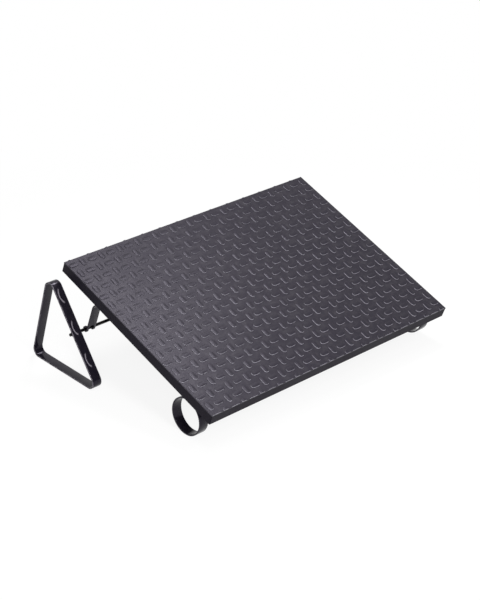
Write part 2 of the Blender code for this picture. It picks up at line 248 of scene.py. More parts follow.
class Effects:
    """The shared surface effects, each built once.

    A pair among its constants is the values between which a mask runs from 0 to 1.
    """

    MOTTLED = (0.3, 0.7)  # Slow noise of the mottling
    WORN = (0.38, 0.54)  # Noise that leaves an edge rubbed in patches
    OVAL_HIGHLIGHT_SIDE = (0.2, 0.98, 0.0)  # Side of an oval that gets the painted highlight, along and across the bar
    OVAL_TURNED = (0.05, 0.25)  # How far to that side a point lies, as a share of the oval's size
    OVAL_CROWN = (0.39, 0.44)  # Distance from the oval's middle where its side begins, likewise
    OVAL_FOOT = (0.56, 0.51)  # Distance where its side ends
    DUST_FACING = (0.3, 0.95)  # How far upward a face looks
    DUST_CLOUDS = (0.4, 0.75)  # Noise of the dust's clouds

    def __init__(self) -> None:
        """Build grain, edge wear, the ovals' painted highlight and dust."""
        self.grain = self._grain()
        self.ovals = self._oval_highlights()
        self.edge_wear = self._edge_wear()
        self.dust = self._dust()

    def _grain(self) -> EffectGroup:
        """Fine grain as a height, and slow mottling, both from 0 to 1.

        Returns:
            The group.
        """
        group = EffectGroup("surface grain", {"Scale": 900.0, "Mottle scale": 25.0}, ("Height", "Mottle"))
        wiring = group.wiring
        place = wiring.add("ShaderNodeTexCoord").outputs["Object"]
        fine = wiring.add("ShaderNodeTexNoise", {"Vector": place, "Scale": group.inlet["Scale"],
                                                 "Detail": 3.0, "Roughness": 0.6})
        slow = wiring.add("ShaderNodeTexNoise", {"Vector": place, "Scale": group.inlet["Mottle scale"],
                                                 "Detail": 4.0, "Roughness": 0.55})
        wiring.join(fine.outputs[0], group.outlet["Height"])
        wiring.join(wiring.ramp(slow.outputs[0], *self.MOTTLED), group.outlet["Mottle"])
        return group

    def _edge_wear(self) -> EffectGroup:
        """Mask of a flat bar's rubbed edges, from its own across and through values.

        Returns:
            The group.
        """
        inputs = {"Half width": 0.0085, "Half thickness": 0.001, "Reach": 0.0015, "Patch scale": 180.0}
        group = EffectGroup("edge wear", inputs, ("Mask",))
        wiring = group.wiring
        near = []
        for attribute, limit in (("across", "Half width"), ("through", "Half thickness")):
            place = wiring.add("ShaderNodeAttribute", attribute_name=attribute).outputs["Fac"]
            distance = wiring.number("SUBTRACT", group.inlet[limit], wiring.number("ABSOLUTE", place))
            near.append(wiring.ramp(distance, group.inlet["Reach"], 0.0))
        place = wiring.add("ShaderNodeTexCoord").outputs["Object"]
        patches = wiring.add("ShaderNodeTexNoise", {"Vector": place, "Scale": group.inlet["Patch scale"],
                                                    "Detail": 3.0})
        broken = wiring.ramp(patches.outputs[0], *self.WORN)
        mask = wiring.number("MULTIPLY", wiring.number("MULTIPLY", *near), broken)
        wiring.join(mask, group.outlet["Mask"])
        return group

    def _oval_highlights(self) -> EffectGroup:
        """Mask of a painted highlight on one side of ovals raised in a row on a bar's outer face, where
        that faces up.

        Returns:
            The group.
        """
        inputs = {"Start": 0.0, "End": 1.0, "Pitch": 0.05, "Length": 0.02, "Breadth": 0.01, "Offset": 0.0}
        group = EffectGroup("painted oval highlights", inputs, ("Mask",))
        wiring, inlet = group.wiring, group.inlet
        run, across, through = (wiring.add("ShaderNodeAttribute", attribute_name=name).outputs["Fac"]
                                for name in ("run", "across", "through"))
        turn = wiring.number("DIVIDE", wiring.number("SUBTRACT", run, inlet["Start"]), inlet["Pitch"])
        from_middle = wiring.number("SUBTRACT", wiring.number("FRACT", turn), 0.5)
        along = wiring.number("DIVIDE", wiring.number("MULTIPLY", from_middle, inlet["Pitch"]),
                              inlet["Length"])
        aside = wiring.number("DIVIDE", wiring.number("SUBTRACT", across, inlet["Offset"]),
                              inlet["Breadth"])
        offset = wiring.add("ShaderNodeCombineXYZ", {0: along, 1: aside}).outputs[0]
        distance = wiring.add("ShaderNodeVectorMath", {0: offset}, operation="LENGTH").outputs["Value"]
        towards = wiring.add("ShaderNodeVectorMath", {0: offset, 1: self.OVAL_HIGHLIGHT_SIDE},
                             operation="DOT_PRODUCT").outputs["Value"]
        ring = wiring.number("MULTIPLY", wiring.ramp(distance, *self.OVAL_CROWN),
                             wiring.ramp(distance, *self.OVAL_FOOT))
        mask = wiring.number("MULTIPLY", ring, wiring.ramp(towards, *self.OVAL_TURNED))
        normal = wiring.add("ShaderNodeTexCoord").outputs["Normal"]
        upward = wiring.add("ShaderNodeSeparateXYZ", {0: normal}).outputs["Z"]
        for test in (wiring.number("GREATER_THAN", run, inlet["Start"]),
                     wiring.number("LESS_THAN", run, inlet["End"]),
                     wiring.number("GREATER_THAN", through, 0.0),
                     wiring.number("GREATER_THAN", upward, 0.0)):
            mask = wiring.number("MULTIPLY", mask, test)
        wiring.join(mask, group.outlet["Mask"])
        return group

    def _dust(self) -> EffectGroup:
        """Mask of the thin dust that settles on what faces up.

        Returns:
            The group.
        """
        group = EffectGroup("settled dust", {"Amount": 0.2, "Scale": 60.0}, ("Mask",))
        wiring = group.wiring
        coordinates = wiring.add("ShaderNodeTexCoord").outputs
        upward = wiring.add("ShaderNodeSeparateXYZ", {0: coordinates["Normal"]}).outputs["Z"]
        cloud = wiring.add("ShaderNodeTexNoise", {"Vector": coordinates["Object"],
                                                  "Scale": group.inlet["Scale"], "Detail": 6.0,
                                                  "Roughness": 0.7})
        lying = wiring.number("MULTIPLY", wiring.ramp(upward, *self.DUST_FACING),
                              wiring.ramp(cloud.outputs[0], *self.DUST_CLOUDS))
        wiring.join(wiring.number("MULTIPLY", lying, group.inlet["Amount"]), group.outlet["Mask"])
        return group


@dataclass(frozen=True)
class Finish:
    """What every finish has.

    Attributes:
        name: Name of the material.
        colour: Its main colour.
        roughness: Lowest and highest roughness over the surface.
        gloss: Specular level.
        tint: Colour of the gloss.
    """

    name: str
    colour: Colour
    roughness: tuple[float, float]
    gloss: float = 0.3
    tint: Colour = (0.88, 0.81, 1.0)

    def material(self, effects: Effects) -> bpy.types.Material:
        """The finish as a material, built at its first use.

        Args:
            effects: The shared surface effects.

        Returns:
            The material.
        """
        ready = bpy.data.materials.get(self.name)
        if ready:
            return ready
        made = bpy.data.materials.new(self.name)
        made.use_nodes = True
        made.diffuse_color = opaque(self.colour)
        shader = made.node_tree.nodes["Principled BSDF"]
        shader.inputs["Specular IOR Level"].default_value = self.gloss
        shader.inputs["Specular Tint"].default_value = opaque(self.tint)
        self.wire(Wiring(made.node_tree), shader, effects)
        return made

    def wire(self, wiring: Wiring, shader: bpy.types.Node, effects: Effects) -> None:
        """Wire the finish's own nodes; each kind of finish does it its own way.

        Args:
            wiring: Wiring of the material's tree.
            shader: The material's shader node.
            effects: The shared surface effects.
        """
        raise NotImplementedError

    def roughen(self, wiring: Wiring, shader: bpy.types.Node, value: Feed) -> None:
        """Spread the roughness range over a value from 0 to 1.

        Args:
            wiring: Wiring of the material's tree.
            shader: The material's shader node.
            value: What runs from 0 to 1 over the surface.
        """
        low, high = self.roughness
        wiring.join(wiring.ramp(value, 0.0, 1.0, low, high), shader.inputs["Roughness"])


def bump(wiring: Wiring, height: Feed, depth: float, normal: Feed | None = None) -> bpy.types.NodeSocket:
    """Normal of a surface with small relief.

    Args:
        wiring: Wiring of the material's tree.
        height: Relief from 0 to 1.
        depth: Height of 1, in metres.
        normal: Normal that the relief is laid over.

    Returns:
        The bumped normal.
    """
    node = wiring.add("ShaderNodeBump", {"Strength": 1.0, "Distance": depth, "Height": height})
    if normal is not None:
        wiring.join(normal, node.inputs["Normal"])
    return node.outputs["Normal"]


@dataclass(frozen=True)
class Rubber(Finish):
    """Moulded rubber of the mat.

    Attributes:
        wear_and_highlight: Colour of the painted highlight on the studs' front and left sides.
        highlight_facing: Direction that the sides with the painted highlight face.
        highlight_towards: Direction across the mat in which the painted highlight grows.
        highlight_from: Where along that direction the painted highlight is least, and where it is full.
        highlight_rows: The same along Y, where the painted highlight grows again from the rear to the
            front.
        dusty: Colour of the dust between the studs.
        grain_scale: Grains across a metre.
        grain_depth: Depth of the moulded grain.
    """

    # Painted highlight of the studs' front and left sides, and where across the mat it is strongest
    wear_and_highlight: Colour = (0.345, 0.333, 0.380)
    highlight_facing: Colour = (-0.707, -0.670, -0.227)
    highlight_towards: Colour = (0.717, -0.697, 0.0)
    highlight_from: tuple[float, float] = (-0.28, -0.10)
    highlight_rows: tuple[float, float] = (0.165, -0.165)
    dusty: Colour = (0.20, 0.19, 0.20)
    grain_scale: float = 1400.0
    grain_depth: float = 0.00004

    def wire(self, wiring: Wiring, shader: bpy.types.Node, effects: Effects) -> None:
        """Mottled rubber with a moulded grain, paler on the studs' front and left sides as a painted
        highlight.
        """
        grain = effects.grain.place(wiring, scale=self.grain_scale, mottle_scale=22.0)
        rise = wiring.add("ShaderNodeAttribute", attribute_name="rise").outputs["Fac"]
        shoulder = wiring.number("MULTIPLY", wiring.ramp(rise, 0.05, 0.2), wiring.ramp(rise, 0.92, 0.82))
        coordinates = wiring.add("ShaderNodeTexCoord").outputs
        # Studs' sides that face the front and left get a paler colour: a painted highlight
        towards = wiring.add("ShaderNodeVectorMath", {0: coordinates["Normal"], 1: self.highlight_facing},
                             operation="DOT_PRODUCT").outputs["Value"]
        side = wiring.number("MULTIPLY", shoulder, wiring.ramp(towards, 0.05, 0.4))
        # The painted highlight grows towards the mat's right and front, broken by slow mottling
        along = wiring.add("ShaderNodeVectorMath", {0: coordinates["Object"], 1: self.highlight_towards},
                           operation="DOT_PRODUCT").outputs["Value"]
        rows = wiring.add("ShaderNodeSeparateXYZ", {0: coordinates["Object"]}).outputs["Y"]
        use = wiring.number("MULTIPLY", wiring.ramp(along, *self.highlight_from, 0.1, 1.0),
                            wiring.ramp(rows, *self.highlight_rows, 0.62, 1.0))
        use = wiring.number("MULTIPLY", use, wiring.ramp(grain["Mottle"], 0.0, 1.0, 0.8, 1.0))
        wear_and_highlight = wiring.number("MULTIPLY", side, use)
        colour = wiring.blend(wear_and_highlight, opaque(self.colour), opaque(self.wear_and_highlight))
        dust = effects.dust.place(wiring, amount=0.10, scale=90.0)
        hollow = wiring.number("MULTIPLY", dust["Mask"], wiring.ramp(rise, 0.6, 0.1))
        colour = wiring.blend(hollow, colour, opaque(self.dusty))
        wiring.join(colour, shader.inputs["Base Color"])
        self.roughen(wiring, shader, wiring.number("SUBTRACT", 1.0, wear_and_highlight))
        wiring.join(bump(wiring, grain["Height"], self.grain_depth), shader.inputs["Normal"])


@dataclass(frozen=True)
class Laminate(Finish):
    """Hard black facing of the board and its edging.

    Attributes:
        pale: Colour that its faint mottling runs to.
        grain_scale: Grains across a metre.
        grain_depth: Depth of the pressed grain.
    """

    pale: Colour = (0.012, 0.010, 0.015)
    grain_scale: float = 700.0
    grain_depth: float = 0.00003

    def wire(self, wiring: Wiring, shader: bpy.types.Node, effects: Effects) -> None:
        """Black with faint mottling, a pressed grain and a little dust."""
        grain = effects.grain.place(wiring, scale=self.grain_scale, mottle_scale=18.0)
        colour = wiring.blend(grain["Mottle"], opaque(self.colour), opaque(self.pale))
        dust = effects.dust.place(wiring, amount=0.04, scale=120.0)
        colour = wiring.blend(dust["Mask"], colour, opaque((0.2, 0.2, 0.2)))
        wiring.join(colour, shader.inputs["Base Color"])
        self.roughen(wiring, shader, grain["Mottle"])
        wiring.join(bump(wiring, grain["Height"], self.grain_depth), shader.inputs["Normal"])


@dataclass(frozen=True)
class Bosses:
    """Long ovals hammered up along a bar's outer face.

    Attributes:
        first: Middle of the first one, along the bar.
        count: How many there are.
        pitch: Distance between them.
        length: Length of one.
        breadth: Its breadth.
        offset: How far its middle lies off the bar's middle, across.
        height: Its height.
        foot: Where its slope starts, as a share of its length and breadth from its middle.
        crown: Where its slope ends, likewise.
        edge: How far from the bar's middle the slope has to end.
        rows: Faces along one.
        columns: Faces across one.
    """

    first: float
    count: int = 3
    pitch: float = 0.0528
    length: float = 0.0235
    breadth: float = 0.0110
    offset: float = -0.0015
    height: float = 0.00055
    foot: float = 0.60
    crown: float = 0.40
    edge: float = 0.0076
    rows: int = 26
    columns: int = 14

    def middles(self) -> list[float]:
        """Middle of each boss, along the bar."""
        return [self.first + index * self.pitch for index in range(self.count)]

    def mask(self, wiring: Wiring, effects: Effects) -> bpy.types.NodeSocket:
        """Where the painted highlight lies on the sides of the bosses.

        Args:
            wiring: Wiring of the material's tree.
            effects: The shared surface effects.

        Returns:
            The mask.
        """
        start = self.first - self.pitch / 2
        return effects.ovals.place(wiring, start=start, end=start + self.count * self.pitch,
                                   pitch=self.pitch, length=self.length, breadth=self.breadth,
                                   offset=self.offset)["Mask"]

    def lift(self, along: float, across: float) -> float:
        """How far a point of the face rises.

        Args:
            along: Place of the point along the bar, from the middle of its boss.
            across: Place across the bar, from the bar's middle.

        Returns:
            The rise.
        """
        distance = math.hypot(along / self.length, (across - self.offset) / self.breadth)
        slope = min(max((self.foot - distance) / (self.foot - self.crown), 0.0), 1.0)
        inside = min(max((self.edge - abs(across)) / (self.height * 3), 0.0), 1.0)
        return self.height * slope * slope * (3 - 2 * slope) * inside

    def hammer(self, bar: bpy.types.Object, outward: Vector, down: Vector) -> None:
        """Raise the bosses on a straight stretch of a swept bar.

        Args:
            bar: The bar in place, with its run and across values and its width along X.
            outward: Direction that the stretch's outer face looks.
            down: Direction in which the stretch runs.
        """
        shape = bmesh.new()
        shape.from_mesh(bar.data)
        run, across = (shape.verts.layers.float[name] for name in ("run", "across"))
        face = max((face for face in shape.faces if face.normal.dot(outward) > SAME_WAY),
                   key=bmesh.types.BMFace.calc_area)
        start = min(face.verts, key=lambda vert: vert[run])
        level, first, last = start.co.copy(), start[run], max(vert[run] for vert in face.verts)
        axis = level.x + start[across]

        def cut(point: Vector, normal: Vector, low: float, high: float, outer: bool) -> None:
            """Cut the stretch's faces across, or only its outer ones along.

            Args:
                point: A point of the cut.
                normal: Direction square to it.
                low: Run from which faces are cut.
                high: Run up to which they are cut.
                outer: Whether only faces that look outward are cut.
            """
            chosen = [face for face in shape.faces
                      if all(low - FLUSH < vert[run] < high + FLUSH for vert in face.verts)
                      and (face.normal.dot(outward) > SAME_WAY if outer
                           else abs(face.normal.dot(down)) < SQUARE)]
            parts = {part for face in chosen for part in (*face.verts, *face.edges, face)}
            bmesh.ops.bisect_plane(shape, geom=list(parts), dist=CUT_SNAP, plane_co=point,
                                   plane_no=normal)

        reach = self.foot * self.length
        for middle in self.middles():
            for row in range(self.rows + 1):
                place = middle + reach * (2 * row / self.rows - 1)
                cut(level + down * (place - first), down, first, last, False)
            for column in range(self.columns + 1):
                aside = self.offset + self.foot * self.breadth * (2 * column / self.columns - 1)
                if abs(aside) < self.edge:
                    cut(Vector((axis - aside, 0, 0)), Vector((1, 0, 0)), middle - reach, middle + reach,
                        True)
            for vert in shape.verts:
                along = vert[run] - middle
                if abs(along) < reach and abs((vert.co - level).dot(outward)) < FLUSH:
                    vert.co += outward * self.lift(along, vert[across])
        shape.to_mesh(bar.data)
        shape.free()


@dataclass(frozen=True)
class Enamel(Finish):
    """Glossy black paint on bent bar.

    Attributes:
        thin: Colour where the paint lies thin on the edges, also used for the painted highlight on the
            hammered ovals.
        wave_scale: Waves of the paint across a metre.
        wave_depth: Depth of the waves.
        peel_scale: Dimples of the orange peel across a metre.
        peel_depth: Depth of the dimples.
        wear: Strength of the edge wear.
        bosses: Hammered ovals on the outer face, if it has them, each with a painted highlight on one side.
    """

    thin: Colour = (0.180, 0.165, 0.190)
    wave_scale: float = 26.0
    wave_depth: float = 0.0012
    peel_scale: float = 520.0
    peel_depth: float = 0.00002
    wear: float = 1.0
    bosses: Bosses | None = None

    def wire(self, wiring: Wiring, shader: bpy.types.Node, effects: Effects) -> None:
        """Black paint in slow waves, with orange peel, edge wear and a painted highlight on the hammered
        ovals.
        """
        grain = effects.grain.place(wiring, scale=self.peel_scale, mottle_scale=35.0)
        edge_wear_and_highlight = effects.edge_wear.place(wiring)["Mask"]
        edge_wear_and_highlight = wiring.number("MULTIPLY", edge_wear_and_highlight, self.wear)
        # Hammered ovals add a painted highlight in the same pale colour as the edge wear
        if self.bosses:
            edge_wear_and_highlight = wiring.number("MAXIMUM", edge_wear_and_highlight, self.bosses.mask(wiring, effects))
        colour = wiring.blend(edge_wear_and_highlight, opaque(self.colour), opaque(self.thin))
        dust = effects.dust.place(wiring, amount=0.05, scale=150.0)
        colour = wiring.blend(dust["Mask"], colour, opaque((0.2, 0.19, 0.19)))
        wiring.join(colour, shader.inputs["Base Color"])
        self.roughen(wiring, shader, grain["Mottle"])
        place = wiring.add("ShaderNodeTexCoord").outputs["Object"]
        waves = wiring.add("ShaderNodeTexNoise", {"Vector": place, "Scale": self.wave_scale,
                                                  "Detail": 1.0, "Roughness": 0.4})
        relief = bump(wiring, waves.outputs[0], self.wave_depth)
        relief = bump(wiring, grain["Height"], self.peel_depth, relief)
        wiring.join(relief, shader.inputs["Normal"])


@dataclass(frozen=True)
class DarkSteel(Finish):
    """Blackened steel of rod and screws.

    Attributes:
        bright: Colour where the blackening has rubbed through.
        scratch_scale: Drawing lines across a metre.
    """

    bright: Colour = (0.09, 0.085, 0.08)
    scratch_scale: float = 900.0

    def wire(self, wiring: Wiring, shader: bpy.types.Node, effects: Effects) -> None:
        """Near black metal with drawing lines along X and rubbed patches."""
        shader.inputs["Metallic"].default_value = 1.0
        grain = effects.grain.place(wiring, scale=600.0, mottle_scale=70.0)
        wear_and_highlight = wiring.ramp(grain["Mottle"], 0.55, 1.0, 0.0, 0.5)
        wiring.join(wiring.blend(wear_and_highlight, opaque(self.colour), opaque(self.bright)),
                    shader.inputs["Base Color"])
        self.roughen(wiring, shader, grain["Mottle"])
        place = wiring.add("ShaderNodeTexCoord").outputs["Object"]
        drawn = wiring.vector("MULTIPLY", place, Vector((0.02, 1.0, 1.0)))
        lines = wiring.add("ShaderNodeTexNoise", {"Vector": drawn, "Scale": self.scratch_scale,
                                                  "Detail": 2.0})
        wiring.join(bump(wiring, lines.outputs[0], 0.00001), shader.inputs["Normal"])


MAT_RUBBER = Rubber("dark grey rubber", (0.013, 0.0112, 0.017), (0.28, 0.36), gloss=0.19)
PANEL_LAMINATE = Laminate("black melamine", (0.008, 0.007, 0.010), (0.38, 0.50), gloss=0.12)
EDGE_LAMINATE = Laminate("black edging", (0.008, 0.0065, 0.012), (0.38, 0.48), gloss=0.06)
BAR_ENAMEL = Enamel("black enamel", (0.010, 0.0085, 0.014), (0.12, 0.22), gloss=0.20)
BRACKET_ENAMEL = replace(BAR_ENAMEL, name="black enamel of the brackets", wear=0.12)
ROD_STEEL = DarkSteel("blackened steel", (0.018, 0.017, 0.019), (0.30, 0.45), tint=(1.0, 1.0, 1.0))


class ShapeTree:
    """A Geometry Nodes tree with named inputs, put on an object as a modifier."""

    SOCKETS = {float: "NodeSocketFloat", int: "NodeSocketInt"}

    def __init__(self, name: str, sizes: dict[str, Union[float, int]]) -> None:
        """Make the tree with an input for each size, one for the finish and its geometry sockets.

        Args:
            name: Name of the tree.
            sizes: Name and value of each input.
        """
        self.tree = bpy.data.node_groups.new(name, "GeometryNodeTree")
        self.wiring = Wiring(self.tree)
        self.values = dict(sizes)
        sockets = self.tree.interface
        sockets.new_socket("Geometry", in_out="OUTPUT", socket_type="NodeSocketGeometry")
        sockets.new_socket("Geometry", in_out="INPUT", socket_type="NodeSocketGeometry")
        self.keys: dict[str, str] = {}
        for title, value in sizes.items():
            socket = sockets.new_socket(title, in_out="INPUT", socket_type=self.SOCKETS[type(value)])
            self.keys[title] = socket.identifier
        finish = sockets.new_socket("Finish", in_out="INPUT", socket_type="NodeSocketMaterial")
        self.keys["Finish"] = finish.identifier
        self.inlet = self.tree.nodes.new("NodeGroupInput").outputs
        self.outlet = self.tree.nodes.new("NodeGroupOutput").inputs

    def close(self, geometry: bpy.types.NodeSocket) -> None:
        """End the tree in real geometry with its finish.

        Args:
            geometry: What the tree has made.
        """
        real = self.wiring.add("GeometryNodeRealizeInstances", {0: geometry}).outputs[0]
        dressed = self.wiring.add("GeometryNodeSetMaterial", {"Geometry": real,
                                                              "Material": self.inlet["Finish"]})
        self.wiring.join(dressed.outputs[0], self.outlet["Geometry"])

    def grow(self, host: bpy.types.Object, finish: bpy.types.Material) -> bpy.types.Object:
        """Run the tree on an object and leave a plain mesh there.

        Args:
            host: The object whose mesh the tree starts from.
            finish: Material of the result.

        Returns:
            The same object, with the result as its mesh.
        """
        modifier = host.modifiers.new(self.tree.name, "NODES")
        modifier.node_group = self.tree
        for title, value in self.values.items():
            modifier[self.keys[title]] = value
        modifier[self.keys["Finish"]] = finish
        return settle(host)


def new_object(name: str, shape: bmesh.types.BMesh | None = None) -> bpy.types.Object:
    """An object in the scene.

    Args:
        name: Its name.
        shape: Its mesh, or None for an empty one; it is freed.

    Returns:
        The object.
    """
    mesh = bpy.data.meshes.new(name)
    if shape:
        shape.to_mesh(mesh)
        shape.free()
    piece = bpy.data.objects.new(name, mesh)
    bpy.context.scene.collection.objects.link(piece)
    return piece


def settle(piece: bpy.types.Object) -> bpy.types.Object:
    """Turn what an object's modifiers make into its own plain mesh.

    Args:
        piece: The object; its modifiers are removed.

    Returns:
        The same object.
    """
    bpy.context.view_layer.update()
    graph = bpy.context.evaluated_depsgraph_get()
    mesh = bpy.data.meshes.new_from_object(piece.evaluated_get(graph))
    mesh.name = piece.name
    piece.modifiers.clear()
    piece.data = mesh
    return piece


def smooth(piece: bpy.types.Object, angle: float = math.radians(40)) -> bpy.types.Object:
    """Shade a piece smooth.

    Args:
        piece: The piece.
        angle: Edges that bend by more than this stay sharp, in radians.

    Returns:
        The piece.
    """
    piece.data.shade_smooth()
    piece.data.set_sharp_from_angle(angle=angle)
    return piece


def arc(centre: Point, radius: float, start: float, end: float, steps: int) -> list[Point]:
    """Points along an arc.

    Args:
        centre: Middle of the arc.
        radius: Its radius.
        start: Angle of the first point, from the first axis towards the second.
        end: Angle of the last point.
        steps: How many steps between them.

    Returns:
        The points, both ends among them.
    """
    turns = [start + (end - start) * step / steps for step in range(steps + 1)]
    return [(centre[0] + radius * math.cos(turn), centre[1] + radius * math.sin(turn)) for turn in turns]


def cut(piece: bpy.types.Object, cutters: Iterable[bpy.types.Object]) -> bpy.types.Object:
    """Cut other objects out of a piece and remove them.

    Args:
        piece: What is cut.
        cutters: What cuts it.

    Returns:
        The piece.
    """
    tools = list(cutters)
    for tool in tools:
        step = piece.modifiers.new(tool.name, "BOOLEAN")
        step.operation = "DIFFERENCE"
        step.object = tool
    settle(piece)
    for tool in tools:
        bpy.data.objects.remove(tool, do_unlink=True)
    return piece


@dataclass(frozen=True)
class BoardFrame:
    """The tilted frame of the board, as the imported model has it.

    Attributes:
        front: Lower front edge at the middle of the width.
        tilt: Lean of the board, in radians.
        width: Size across.
        depth: Size along.
        thickness: Height of the edging.
    """

    front: Vector
    tilt: float
    width: float
    depth: float
    thickness: float

    @classmethod
    def read(cls, nodes: dict[str, bpy.types.Object]) -> "BoardFrame":
        """Read the frame from a side strip's corners.

        Args:
            nodes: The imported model's nodes.

        Returns:
            The frame.
        """
        corners = [vertex.co for vertex in nodes["edge_band_left"].data.vertices]
        front = min(corners, key=lambda corner: corner.z)
        rear = max(corners, key=lambda corner: corner.y)
        top = min(corners, key=lambda corner: corner.y)
        low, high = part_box("tread_mat")
        return cls(front=Vector((0, front.y, front.z)),
                   tilt=math.atan2(rear.z - front.z, rear.y - front.y),
                   width=high.x - low.x,
                   depth=math.hypot(rear.z - front.z, rear.y - front.y),
                   thickness=math.hypot(top.z - front.z, top.y - front.y))

    @property
    def matrix(self) -> Matrix:
        """Takes a point from the board's frame to the model's."""
        return Matrix.Translation(self.front) @ Matrix.Rotation(self.tilt, 4, "X")

    def local(self, point: Vector) -> Vector:
        """A point of the model in the board's frame."""
        return self.matrix.inverted() @ point


class Fitter:
    """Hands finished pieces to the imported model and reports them."""

    def __init__(self) -> None:
        """Start with nothing fitted."""
        self.triangles = 0

    def fit(self, piece: bpy.types.Object, body: Body, slot: Slot, *nodes: str) -> None:
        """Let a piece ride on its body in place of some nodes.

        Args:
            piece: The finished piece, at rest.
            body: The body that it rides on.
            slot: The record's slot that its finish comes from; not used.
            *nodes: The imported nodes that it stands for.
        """
        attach(piece, body.value)
        if nodes:
            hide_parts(*nodes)
        self.report(piece, nodes)

    def report(self, piece: bpy.types.Object, nodes: Sequence[str]) -> None:
        """Log a piece's size, and how far it stands off the nodes that it replaces.

        Args:
            piece: The piece.
            nodes: The nodes that it replaces.
        """
        corners = [vertex.co for vertex in piece.data.vertices]
        low = [min(corner[axis] for corner in corners) for axis in range(3)]
        high = [max(corner[axis] for corner in corners) for axis in range(3)]
        count = sum(len(face.vertices) - 2 for face in piece.data.polygons)
        self.triangles += count
        size = " x ".join(f"{(top - bottom) / MILLIMETRE:.1f}" for bottom, top in zip(low, high))
        off = 0.0
        if nodes:
            boxes = [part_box(node) for node in nodes]
            for axis in range(3):
                off = max(off, min(box[0][axis] for box in boxes) - low[axis],
                          high[axis] - max(box[1][axis] for box in boxes))
        LOG.info("%s: %s mm, %d triangles, %.2f mm outside its nodes", piece.name, size, count,
                 off / MILLIMETRE)


